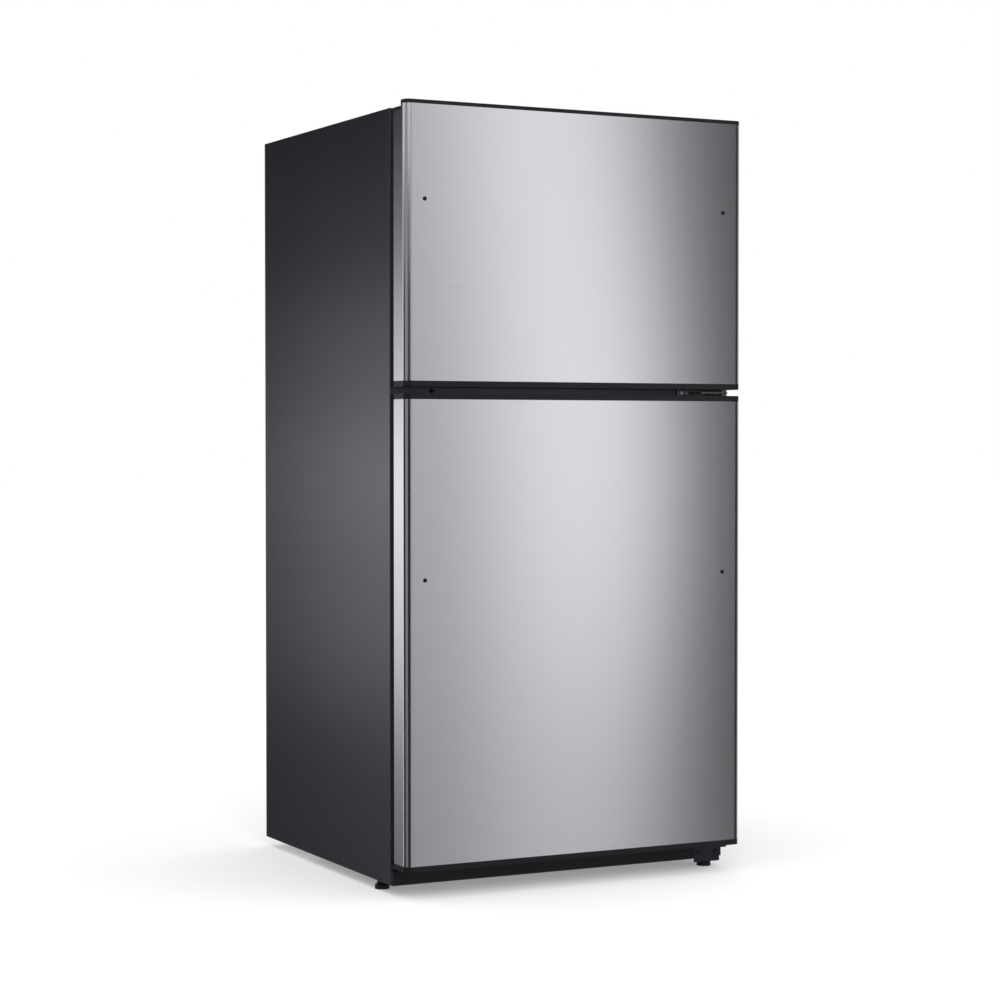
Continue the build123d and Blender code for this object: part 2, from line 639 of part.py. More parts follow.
def dike(z, wall):
    """The raised frame on a door lining, or its core one wall thickness inside it."""
    y = (DOOR_BACK, CABINET_FRONT + DIKE_REACH - wall)
    if wall:
        y = (DOOR_BACK - LINER, y[1])
    ring = frame_ring(DIKE_HALF - wall, (z[0] + wall, z[1] - wall), DIKE_WIDTH - 2 * wall, y)
    if wall:
        return ring
    return fillet(ring.faces().sort_by(Axis.Y)[-1].edges(), DIKE_ROUND)


def door_liner(z, dike_z):
    plate = block(span(HALF - DOOR_RETURN), (DOOR_BACK - LINER, DOOR_BACK), z)
    return plate + dike(dike_z, 0) - dike(dike_z, LINER)


def door_foam(z, dike_z, plug_z):
    foam = door_prism(z, SHEET, DOOR_BACK - LINER) + dike(dike_z, LINER)
    for x in PLUG_PLACES:
        foam = foam - rod_y(x, (DOOR_FRONT, DOOR_FRONT + PLUG_LENGTH), plug_z, PLUG_SHANK)
    return foam


def gasket(z):
    return frame_ring(HALF - GASKET_SIDE_INSET, z, GASKET_WIDTH, (DOOR_BACK, CABINET_FRONT - FIT))


def door_plugs(plug_z):
    """The buttons in the handle screw holes, at both sides because the door can be turned round."""
    plugs = []
    for x in PLUG_PLACES:
        head = rod_y(x, (DOOR_FRONT - PLUG_HEIGHT, DOOR_FRONT), plug_z, PLUG_RADIUS)
        head = fillet(head.faces().sort_by(Axis.Y)[0].edges(), PLUG_HEIGHT / 2)
        plugs.append(head + rod_y(x, (DOOR_FRONT, DOOR_FRONT + PLUG_LENGTH), plug_z, PLUG_SHANK - FIT))
    return Compound(children=plugs)


def tray(x, y, z, wall, radius):
    """An open tray with round upright corners on its inner side."""
    outer = block(x, y, z)
    outer = fillet(outer.edges().filter_by(Axis.Z).sort_by(Axis.Y)[2:], radius)
    inner = block((x[0] + wall, x[1] - wall), (y[0] + wall, y[1] - wall), (z[0] + wall, z[1]))
    return outer - fillet(inner.edges().filter_by(Axis.Z).sort_by(Axis.Y)[2:], radius - wall)


def door_bin(base, height, reach):
    y = (DOOR_BACK + FIT, CABINET_FRONT + reach)
    return tray(span(BIN_HALF), y, (base, base + height), BIN_WALL, BIN_ROUND)


def freezer_bins():
    low = FREEZER_DIKE[0] + DIKE_WIDTH
    pitch = (FREEZER_DIKE[1] - DIKE_WIDTH - low) / FREEZER_BIN_COUNT
    bases = [low + BIN_RISE + pitch * i for i in range(FREEZER_BIN_COUNT)]
    return Compound(children=[door_bin(base, BIN_HEIGHT, BIN_DEPTH) for base in bases])


def fridge_bins():
    """The bottle bin at the bottom and the bins between it and the dairy box."""
    low = FRIDGE_DIKE[0] + DIKE_WIDTH + BIN_RISE
    bins = [door_bin(low, BOTTLE_BIN_HEIGHT, BOTTLE_BIN_DEPTH)]
    pitch = (DAIRY_BASE - low - BOTTLE_BIN_HEIGHT) / (FRIDGE_BIN_COUNT + 1)
    for i in range(FRIDGE_BIN_COUNT):
        base = low + BOTTLE_BIN_HEIGHT + pitch * (i + 1) - BIN_HEIGHT / 2
        bins.append(door_bin(base, BIN_HEIGHT, BIN_DEPTH))
    return Compound(children=bins)


def dairy_bin():
    """The dairy box, with a cheek at each end that holds the lid's pins."""
    box = door_bin(DAIRY_BASE, DAIRY_HEIGHT, DAIRY_DEPTH)
    pivot_y, pivot_z = DAIRY_PIVOT
    cheek_y = (DOOR_BACK + FIT, pivot_y + LID_EAR)
    cheek = block((BIN_HALF - LID_WALL, BIN_HALF), cheek_y, (DAIRY_BASE, pivot_z + LID_EAR))
    cheek = cheek - rod_x((BIN_HALF - LID_WALL, BIN_HALF), pivot_y, pivot_z, DAIRY_PIN + RUNNING)
    return box + cheek + mirrored(cheek)


def dairy_lid():
    """The lid over the top and front of the dairy box, with two ears and their pins."""
    pivot_y, pivot_z = DAIRY_PIVOT
    half = BIN_HALF - LID_WALL - FIT
    front = CABINET_FRONT + DAIRY_DEPTH + LID_GAP
    top = pivot_z + LID_LIFT
    lid = block(span(half), (pivot_y - LID_EAR, front + LID_WALL), (top, top + LID_WALL))
    face_z = (DAIRY_BASE + DAIRY_HEIGHT - LID_OVERLAP, top + LID_WALL)
    lid = lid + block(span(half), (front, front + LID_WALL), face_z)
    ear_y = (pivot_y - LID_EAR, pivot_y + LID_EAR)
    ear = block((half - LID_WALL, half), ear_y, (pivot_z - LID_EAR, top))
    ear = ear + rod_x((half - LID_WALL, BIN_HALF - FIT), pivot_y, pivot_z, DAIRY_PIN)
    return lid + ear + mirrored(ear)


# Inside fittings

def shelf_frame(base, y):
    """A moulded shelf surround with a rebate for its glass."""
    frame = block(span(SHELF_HALF), y, (base, base + SHELF_FRAME))
    frame = fillet(frame.edges().filter_by(Axis.X).sort_by(Axis.Y)[:2], SHELF_FRAME / 3)
    window_x = span(SHELF_HALF - SHELF_RAIL)
    window_y = (y[0] + SHELF_RAIL, y[1] - SHELF_RAIL)
    frame = frame - block(window_x, window_y, (base, base + SHELF_FRAME))
    return frame - glass_block(base, y, 0.0)


def glass_block(base, y, gap):
    """The pane, or with no gap the rebate that it lies in."""
    reach = SHELF_RAIL / 2 + gap
    z = (base + SHELF_FRAME - SHELF_GLASS, base + SHELF_FRAME)
    return block(span(SHELF_HALF - reach), (y[0] + reach, y[1] - reach), z)


def shelves():
    """The base height and depth range of every shelf, the crisper cover first."""
    front = CABINET_FRONT + SHELF_FRONT
    places = [(HUMP_TOP, (front, INNER_BACK - FIT))]
    places += [(base, (front, INNER_BACK - FIT)) for base in SHELF_BASES]
    places.append((FREEZER_SHELF_BASE, (front, COLD_COVER_Y - FIT)))
    return places


def crisper():
    """The right vegetable drawer, with a pull along its front edge."""
    x = (CRISPER_SIDE_GAP / 2, INNER_HALF - CRISPER_SIDE_GAP)
    front = CABINET_FRONT + CRISPER_FRONT
    y = (front, HUMP_FRONT - CRISPER_SIDE_GAP)
    base = FRIDGE_FLOOR + RUNNER_HEIGHT + FIT
    top = HUMP_TOP - RIB_HEIGHT - CRISPER_TOP_GAP
    drawer = tray(x, y, (base, top), CRISPER_WALL, CRISPER_ROUND)
    pull = block(x, (front - CRISPER_PULL, front), (top - CRISPER_PULL_HEIGHT, top))
    return drawer + fillet(pull.faces().sort_by(Axis.Y)[0].edges().filter_by(Axis.X), CRISPER_WALL)


def control_housing():
    """The console on the fridge ceiling: open below for the lamp lens, with two dial bores."""
    x = span(CONSOLE_WIDTH / 2)
    y = (CABINET_FRONT + CONSOLE_FRONT, CABINET_FRONT + CONSOLE_FRONT + CONSOLE_DEPTH)
    z = (FRIDGE_CEILING - CONSOLE_HEIGHT, FRIDGE_CEILING)
    outer = block(x, y, z)
    outer = fillet(outer.edges().filter_by(Axis.X).sort_by(Axis.Z)[:2], LENS_INSET / 2)
    inside = CONSOLE_WALL
    cavity = block(
        (x[0] + inside, x[1] - inside),
        (y[0] + KNOB_STEM_LENGTH, y[1] - inside),
        (z[0] + LENS_INSET, z[1] - inside),
    )
    window = block(
        (x[0] + LENS_INSET, x[1] - LENS_INSET),
        (y[0] + LENS_INSET, y[1] - LENS_INSET),
        (z[0], z[0] + LENS_INSET),
    )
    housing = outer - cavity - window
    for side in (-1, 1):
        bore_y = (y[0], y[0] + KNOB_STEM_LENGTH)
        housing = housing - rod_y(side * KNOB_OFFSET, bore_y, CONSOLE_AXIS, KNOB_STEM + RUNNING)
    return housing


def lamp_lens():
    """The clear cover of the lamp, sitting in the window under the console."""
    x = span(CONSOLE_WIDTH / 2 - LENS_INSET - FIT)
    start = CABINET_FRONT + CONSOLE_FRONT + LENS_INSET + FIT
    y = (start, start + CONSOLE_DEPTH - 2 * (LENS_INSET + FIT))
    base = FRIDGE_CEILING - CONSOLE_HEIGHT
    return block(x, y, (base, base + LENS_INSET))


def knob(side):
    """A dial with a grip bar across its face and a stem into the console."""
    x = side * KNOB_OFFSET
    face = CABINET_FRONT + CONSOLE_FRONT - FIT
    disc = rod_y(x, (face - KNOB_DEPTH / 2, face), CONSOLE_AXIS, KNOB_RADIUS)
    disc = fillet(disc.faces().sort_by(Axis.Y)[0].edges(), KNOB_DEPTH / 6)
    grip_x = (x - KNOB_GRIP / 2, x + KNOB_GRIP / 2)
    grip_z = span_about(CONSOLE_AXIS, KNOB_RADIUS - KNOB_GRIP_MARGIN)
    grip = block(grip_x, (face - KNOB_DEPTH, face), grip_z)
    grip = fillet(grip.faces().sort_by(Axis.Y)[0].edges(), KNOB_GRIP / 4)
    return disc + grip + rod_y(x, (face, face + KNOB_STEM_LENGTH), CONSOLE_AXIS, KNOB_STEM)


def switch_housing():
    """The lamp switch's body on the fridge ceiling, bored for its plunger."""
    x = (SWITCH_X - SWITCH_WIDTH / 2, SWITCH_X + SWITCH_WIDTH / 2)
    y = (SWITCH_Y, SWITCH_Y + SWITCH_LENGTH)
    body = block(x, y, (FRIDGE_CEILING - SWITCH_HEIGHT, FRIDGE_CEILING))
    body = fillet(body.edges().filter_by(Axis.X).sort_by(Axis.Z)[:2], PLUNGER_RADIUS)
    return body - rod_y(SWITCH_X, (SWITCH_Y, SWITCH_Y + PLUNGER_DEPTH), SWITCH_Z, PLUNGER_RADIUS + RUNNING)


def switch_plunger():
    tip = CABINET_FRONT + DIKE_REACH + FIT
    rod = rod_y(SWITCH_X, (tip, SWITCH_Y + PLUNGER_DEPTH - FIT), SWITCH_Z, PLUNGER_RADIUS)
    return fillet(rod.faces().sort_by(Axis.Y)[0].edges(), PLUNGER_RADIUS / 2)


def evaporator():
    """The finned cooling coil, on two end plates against the back of the freezer liner."""
    half = EVAPORATOR_WIDTH / 2
    y = (INNER_BACK - EVAPORATOR_DEPTH, INNER_BACK)
    z = (COIL_BOTTOM, COIL_TOP)
    coil = None
    for i in range(FIN_COUNT):
        x = -half + (EVAPORATOR_WIDTH - FIN) * i / (FIN_COUNT - 1)
        last = i in (0, FIN_COUNT - 1)
        fin_z = (COIL_BOTTOM - HEATER_DROP, COIL_TOP) if last else z
        fin_y = y if last else (y[0], y[1] - TUBE_RADIUS)
        fin = block((x, x + FIN), fin_y, fin_z)
        coil = fin if coil is None else coil + fin
    pitch = (COIL_TOP - COIL_BOTTOM) / TUBE_ROWS
    for row in range(TUBE_ROWS):
        for share in (1 / 3, 2 / 3):
            tube_y = y[0] + EVAPORATOR_DEPTH * share
            tube_z = COIL_BOTTOM + pitch * (row + 0.5)
            coil = coil + rod_x(span(half + TUBE_RADIUS), tube_y, tube_z, TUBE_RADIUS)
    return coil


def defrost_heater():
    """A sheathed rod under the coil, held between the coil's end plates."""
    half = EVAPORATOR_WIDTH / 2 - FIN
    z = COIL_BOTTOM - HEATER_DROP + TUBE_RADIUS
    return rod_x(span(half), INNER_BACK - EVAPORATOR_DEPTH / 2, z, TUBE_RADIUS)


def evaporator_cover():
    """The panel that closes off the coil, with a round fan grille and rows of return vents."""
    through = (COLD_COVER_Y, COLD_COVER_Y + COVER_PANEL)
    slab = block(span(INNER_HALF), through, (FREEZER_FLOOR, FREEZER_CEILING))
    panel = slab & freezer_cavity(-FIT)
    pitch = COLD_FAN_RADIUS / GRILLE_RINGS
    for i in range(GRILLE_RINGS):
        outer = pitch * (i + 1)
        ring = rod_y(0, through, COLD_FAN_Z, outer)
        ring = ring - rod_y(0, through, COLD_FAN_Z, outer - GRILLE_SLOT)
        ring = ring - block(span(GRILLE_SLOT / 2), through, span_about(COLD_FAN_Z, COLD_FAN_RADIUS))
        ring = ring - block(span(COLD_FAN_RADIUS), through, span_about(COLD_FAN_Z, GRILLE_SLOT / 2))
        panel = panel - ring
    vent_pitch = 2 * (INNER_HALF - LINER_CORNER) / VENT_COUNT
    for i in range(VENT_COUNT):
        middle = -INNER_HALF + LINER_CORNER + vent_pitch * (i + 0.5)
        x = (middle - VENT_WIDTH / 2, middle + VENT_WIDTH / 2)
        for row in (1, 3):
            base = FREEZER_FLOOR + LINER_CORNER + VENT_HEIGHT * row
            panel = panel - block(x, through, (base, base + VENT_HEIGHT))
    return panel


def fan(radius):
    """A fan about Z, its hub bored for the motor's shaft."""
    hub = rod_z(0, 0, (0, FAN_DEPTH), FAN_HUB)
    blade_length = radius - FAN_HUB / 2
    wheel = fillet(hub.faces().sort_by(Axis.Z)[0].edges(), FAN_HUB / 4)
    for i in range(FAN_BLADES):
        blade = Box(blade_length, BLADE_CHORD, BLADE_THICKNESS)
        blade = fillet(blade.edges().filter_by(Axis.Z), FAN_DEPTH / 3)
        blade = Pos(FAN_HUB / 2 + blade_length / 2, 0, FAN_DEPTH / 2) * Rot(BLADE_PITCH, 0, 0) * blade
        wheel = wheel + Rot(0, 0, 360 / FAN_BLADES * i) * blade
    return wheel - rod_z(0, 0, (FAN_HUB / 2, FAN_DEPTH), FAN_SHAFT + RUNNING)


def motor():
    """A fan motor about Z: its can above the fan, with the shaft down into the hub."""
    start = FAN_DEPTH + FAN_MOTOR_GAP
    can = rod_z(0, 0, (start, start + MOTOR_LENGTH), MOTOR_RADIUS)
    can = fillet(can.edges().filter_by(GeomType.CIRCLE), FAN_SHAFT)
    return can + rod_z(0, 0, (FAN_HUB / 2 + FIT, FAN_DEPTH + MOTOR_LENGTH / 2), FAN_SHAFT)


def cold_fan_place(shape):
    """Turns a shape made about Z so that its top points to the back, behind the grille."""
    return Pos(0, COLD_COVER_Y + COVER_PANEL + FAN_HUB / 2, COLD_FAN_Z) * Rot(-90, 0, 0) * shape


def hot_fan_place(shape):
    """Turns a shape made about Z so that its top points to the compressor."""
    return Pos(HOT_FAN_X, MACHINE_MIDDLE, HOT_FAN_Z) * Rot(0, -90, 0) * shape


def cold_motor():
    """The freezer fan's motor, on a stem from the back of the liner."""
    can_back = COLD_COVER_Y + COVER_PANEL + FAN_HUB / 2 + FAN_DEPTH + MOTOR_LENGTH
    stem_y = (can_back - FAN_HUB / 2, INNER_BACK)
    stem = block(span(MOTOR_RADIUS / 2), stem_y, span_about(COLD_FAN_Z, MOTOR_RADIUS / 2))
    return cold_fan_place(motor()) + stem


def hot_motor():
    """The machine compartment fan's motor, on a bracket that stands on the base pan."""
    can_x = HOT_FAN_X - FAN_DEPTH - FAN_MOTOR_GAP
    bracket_x = (can_x - MOTOR_LENGTH, can_x - MOTOR_LENGTH + COVER_PANEL)
    y = span_about(MACHINE_MIDDLE, MOTOR_RADIUS)
    bracket = block(bracket_x, y, (PAN_TOP, HOT_FAN_Z + MOTOR_RADIUS))
    foot = block((bracket_x[0] - MOTOR_RADIUS, bracket_x[1]), y, (PAN_TOP, PAN_TOP + COVER_PANEL))
    return hot_fan_place(motor()) + bracket + foot


# Machine compartment

def base_pan():
    """The plate that carries the machinery, folded up at the front and cut out over the rollers."""
    y = (MACHINE_FRONT, PANEL_FRONT - MACHINE_COVER_GAP)
    pan = block(span(HALF - SHEET), y, (PAN_TOP - PAN_SHEET, PAN_TOP))
    pan = pan + block(span(HALF - SHEET), (y[0], y[0] + PAN_SHEET), (PAN_TOP - PAN_SHEET, DECK))
    for side in (-1, 1):
        well_x = span_about(side * ROLLER_X, ROLLER_WIDTH / 2 + ROLLER_SIDE_GAP)
        well_y = span_about(ROLLER_Y, ROLLER_RADIUS + ROLLER_WELL_GAP)
        pan = pan - block(well_x, well_y, (PAN_TOP - PAN_SHEET, PAN_TOP))
    return pan


def roller_bracket(side):
    """Two cheeks under the pan, joined by the axle that the roller turns on."""
    x = side * ROLLER_X
    inside = ROLLER_WIDTH / 2 + ROLLER_SIDE_GAP
    z = (ROLLER_RADIUS - CHEEK_WIDTH / 2, PAN_TOP - PAN_SHEET)
    y = span_about(ROLLER_Y, CHEEK_WIDTH / 2)
    bracket = rod_x((x - inside, x + inside), ROLLER_Y, ROLLER_RADIUS, ROLLER_AXLE)
    for low, high in ((x - inside - CHEEK, x - inside), (x + inside, x + inside + CHEEK)):
        bracket = bracket + block((low, high), y, z)
    return bracket


def roller(side):
    x = side * ROLLER_X
    wheel = rod_x(span_about(x, ROLLER_WIDTH / 2), ROLLER_Y, ROLLER_RADIUS, ROLLER_RADIUS)
    wheel = fillet(wheel.edges().filter_by(GeomType.CIRCLE), ROLLER_SIDE_GAP * 2)
    return wheel - rod_x(span_about(x, ROLLER_WIDTH / 2), ROLLER_Y, ROLLER_RADIUS, ROLLER_AXLE + RUNNING)


def foot(x, y):
    """A levelling foot: a round pad on a threaded stud that turns up into the sill flange."""
    pad = rod_z(x, y, (0, FOOT_HEIGHT), FOOT_RADIUS)
    pad = fillet(pad.faces().sort_by(Axis.Z)[-1].edges(), FOOT_HEIGHT / 4)
    return pad + rod_z(x, y, (FOOT_HEIGHT, FOOT_STUD_LENGTH), FOOT_STUD)


def compressor():
    """The sealed compressor pot on its mounting plate."""
    base = PAN_TOP + GROMMET_HEIGHT
    plate_x = span_about(COMPRESSOR_X, COMPRESSOR_PLATE_WIDTH / 2)
    plate_y = span_about(MACHINE_MIDDLE, COMPRESSOR_PLATE_DEPTH / 2)
    plate = block(plate_x, plate_y, (base, base + COMPRESSOR_PLATE))
    plate = fillet(plate.edges().filter_by(Axis.Z), GROMMET_RADIUS)
    top = base + COMPRESSOR_PLATE + COMPRESSOR_HEIGHT
    pot = rod_z(COMPRESSOR_X, MACHINE_MIDDLE, (base + COMPRESSOR_PLATE, top), COMPRESSOR_RADIUS)
    pot = fillet(pot.faces().sort_by(Axis.Z)[-1].edges(), COMPRESSOR_DOME)
    middle = (base + top) / 2
    seam_z = span_about(middle, SEAM_HEIGHT / 2)
    return plate + pot + rod_z(COMPRESSOR_X, MACHINE_MIDDLE, seam_z, COMPRESSOR_RADIUS + SEAM_RADIUS)


def compressor_grommets():
    """Four rubber posts between the base pan and the compressor's plate."""
    z = (PAN_TOP, PAN_TOP + GROMMET_HEIGHT)
    posts = []
    for x in span_about(COMPRESSOR_X, COMPRESSOR_PLATE_WIDTH / 2 - GROMMET_INSET):
        for y in span_about(MACHINE_MIDDLE, COMPRESSOR_PLATE_DEPTH / 2 - GROMMET_INSET):
            posts.append(rod_z(x, y, z, GROMMET_RADIUS))
    return Compound(children=posts)


def condenser():
    """A stack of tube passes between two end plates that stand on the base pan."""
    depth = CONDENSER_PITCH * CONDENSER_LAYERS
    y = span_about(MACHINE_MIDDLE, depth / 2)
    height = CONDENSER_PITCH * CONDENSER_PASSES
    coil = None
    for x in CONDENSER_X:
        plate_x = span_about(x, CONDENSER_PLATE / 2)
        plate = block(plate_x, y, (PAN_TOP, PAN_TOP + CONDENSER_RISE + height))
        coil = plate if coil is None else coil + plate
    for row in range(CONDENSER_PASSES):
        z = PAN_TOP + CONDENSER_RISE + CONDENSER_PITCH * (row + 0.5)
        for layer in range(CONDENSER_LAYERS):
            tube_y = y[0] + CONDENSER_PITCH * (layer + 0.5)
            ends = (CONDENSER_X[0] - CONDENSER_TUBE * 2, CONDENSER_X[1] + CONDENSER_TUBE * 2)
            coil = coil + rod_x(ends, tube_y, z, CONDENSER_TUBE)
    return coil


def drain_pan():
    """The tray on the base pan that catches the thawed frost."""
    x = DRAIN_PAN_X
    y = (MACHINE_FRONT + PAN_SHEET + FIT, MACHINE_FRONT + PAN_SHEET + FIT + DRAIN_PAN_DEPTH)
    top = PAN_TOP + DRAIN_PAN_HEIGHT
    outer = block(x, y, (PAN_TOP, top))
    outer = fillet(outer.edges().filter_by(Axis.Z), CRISPER_ROUND)
    wall = DRAIN_PAN_WALL
    inner = block((x[0] + wall, x[1] - wall), (y[0] + wall, y[1] - wall), (PAN_TOP + wall, top))
    return outer - fillet(inner.edges().filter_by(Axis.Z), CRISPER_ROUND - wall)


def line(points):
    path = FilletPolyline(*points, radius=LINE_BEND)
    return sweep(Plane(path @ 0, z_dir=path % 0) * Circle(LINE_RADIUS), path=path)


def refrigerant_lines():
    """The hot line from the compressor over to the condenser, and the suction line to the roof."""
    top = PAN_TOP + GROMMET_HEIGHT + COMPRESSOR_PLATE + COMPRESSOR_HEIGHT
    reach = top + LINE_BEND * 2
    plate = CONDENSER_X[0] - CONDENSER_PLATE / 2
    end_z = PAN_TOP + CONDENSER_RISE + CONDENSER_PITCH * CONDENSER_PASSES - LINE_RADIUS
    across = plate - LINE_BEND * 2
    y = MACHINE_MIDDLE
    hot = line([
        (COMPRESSOR_X, y, top),
        (COMPRESSOR_X, y, reach),
        (across, y, reach),
        (across, y, end_z),
        (plate, y, end_z),
    ])
    side = COMPRESSOR_X - COMPRESSOR_RADIUS - LINE_BEND * 2
    low = PAN_TOP + GROMMET_HEIGHT + COMPRESSOR_HEIGHT / 3
    suction = line([(COMPRESSOR_X - COMPRESSOR_RADIUS, y, low), (side, y, low), (side, y, MACHINE_TOP)])
    return Compound(children=[hot, suction])


def machine_cover():
    """The slotted back cover of the machine compartment, with the mains lead's gland."""
    z = (CABINET_BOTTOM + MACHINE_COVER_GAP, MACHINE_TOP)
    y = (PANEL_FRONT, PANEL_FRONT + SHEET)
    cover = block(span(HALF), y, z)
    pitch = (WIDTH - 2 * SIDE_WALL) / SLOT_COUNT
    for i in range(SLOT_COUNT):
        middle = -HALF + SIDE_WALL + pitch * (i + 0.5)
        slot_x = span_about(middle, SLOT_WIDTH / 2)
        slot_z = span_about((z[0] + z[1]) / 2 + GLAND_RISE / 2, SLOT_HEIGHT / 2)
        cover = cover - block(slot_x, y, slot_z)
    gland_z = z[0] + GLAND_RISE / 2
    gland = rod_y(GLAND_X, (PANEL_FRONT, CABINET_BACK), gland_z, GLAND_RADIUS)
    return cover + gland - rod_y(GLAND_X, (PANEL_FRONT, CABINET_BACK), gland_z, GLAND_HOLE)


# Places shared by several pieces
BOTTOM_HINGE_LEFT = PIN_X + KNUCKLE_RADIUS - BOTTOM_HINGE_SPAN + KNUCKLE_RADIUS / 2
BOTTOM_TONGUE = (FRIDGE_DOOR_BOTTOM - COLLAR_RADIUS, FRIDGE_DOOR_BOTTOM - COLLAR_RADIUS + HINGE_PLATE)
BOTTOM_SCREW_Z = CABINET_BOTTOM + SCREW_HEAD * 2
BOTTOM_SCREWS = [BOTTOM_HINGE_LEFT + SCREW_HEAD * 2, BOTTOM_HINGE_LEFT + BOTTOM_HINGE_SPAN - SCREW_HEAD * 2]
MIDDLE_LEFT = PIN_X + KNUCKLE_RADIUS - MIDDLE_FLANGE_SPAN
MIDDLE_SCREWS = [MIDDLE_LEFT + SCREW_HEAD * 2, MIDDLE_LEFT + SCREW_HEAD * 2 + MIDDLE_SCREW_PITCH]
TOP_PLATE_RIGHT = PIN_X - TOP_ARM_GAP
TOP_PLATE_Y = (CABINET_FRONT + COVER_MARGIN * 2, CABINET_FRONT + COVER_MARGIN * 2 + TOP_PLATE_LENGTH)
TOP_SCREWS = [
    (TOP_PLATE_RIGHT - TOP_PLATE_SPAN + SCREW_HEAD * 2, TOP_PLATE_Y[0] + SCREW_HEAD * 2),
    (TOP_PLATE_RIGHT - TOP_PLATE_SPAN + SCREW_HEAD * 2, TOP_PLATE_Y[1] - SCREW_HEAD * 2),
    (TOP_PLATE_RIGHT - SCREW_HEAD * 2, TOP_PLATE_Y[1] - SCREW_HEAD * 2),
]
PLUG_PLACES = (-HALF + PLUG_LEFT_INSET, HALF - PLUG_RIGHT_INSET)
FOOT_PLACES = [
    (-HALF + FOOT_LEFT_INSET, CABINET_FRONT + FOOT_LEFT_BACK),
    (HALF - FOOT_RIGHT_INSET, CABINET_FRONT + FOOT_RIGHT_BACK),
]
ROLLER_X = HALF - ROLLER_INSET
ROLLER_Y = CABINET_BACK - ROLLER_FROM_BACK
CONSOLE_AXIS = FRIDGE_CEILING - CONSOLE_HEIGHT / 2
SWITCH_X = INNER_HALF - SWITCH_INSET
SWITCH_Y = CABINET_FRONT + DIKE_REACH + SWITCH_GAP
SWITCH_Z = FRIDGE_CEILING - SWITCH_HEIGHT + PLUNGER_RADIUS * 2
FREEZER_LINING = (FREEZER_STEEL_BOTTOM, FREEZER_SIDE_TOP)
FRIDGE_LINING = (FRIDGE_STEEL_BOTTOM, FRIDGE_STEEL_TOP)
FREEZER_FOAM = (FREEZER_STEEL_BOTTOM + CAP_SPIGOT, FREEZER_SIDE_TOP - CAP_SPIGOT)
FRIDGE_FOAM = (FRIDGE_STEEL_BOTTOM + CAP_SPIGOT, FRIDGE_STEEL_TOP - CAP_SPIGOT)
FREEZER_PLUG_Z = SPLIT + PLUG_FROM_SPLIT
FRIDGE_PLUG_Z = SPLIT - PLUG_FROM_SPLIT
FREEZER_SEAL = (FREEZER_DOOR_BOTTOM + GASKET_MULLION_INSET, FREEZER_CAP_TOP - GASKET_END_INSET)
FRIDGE_SEAL = (FRIDGE_DOOR_BOTTOM + GASKET_END_INSET, FRIDGE_DOOR_TOP - GASKET_MULLION_INSET)


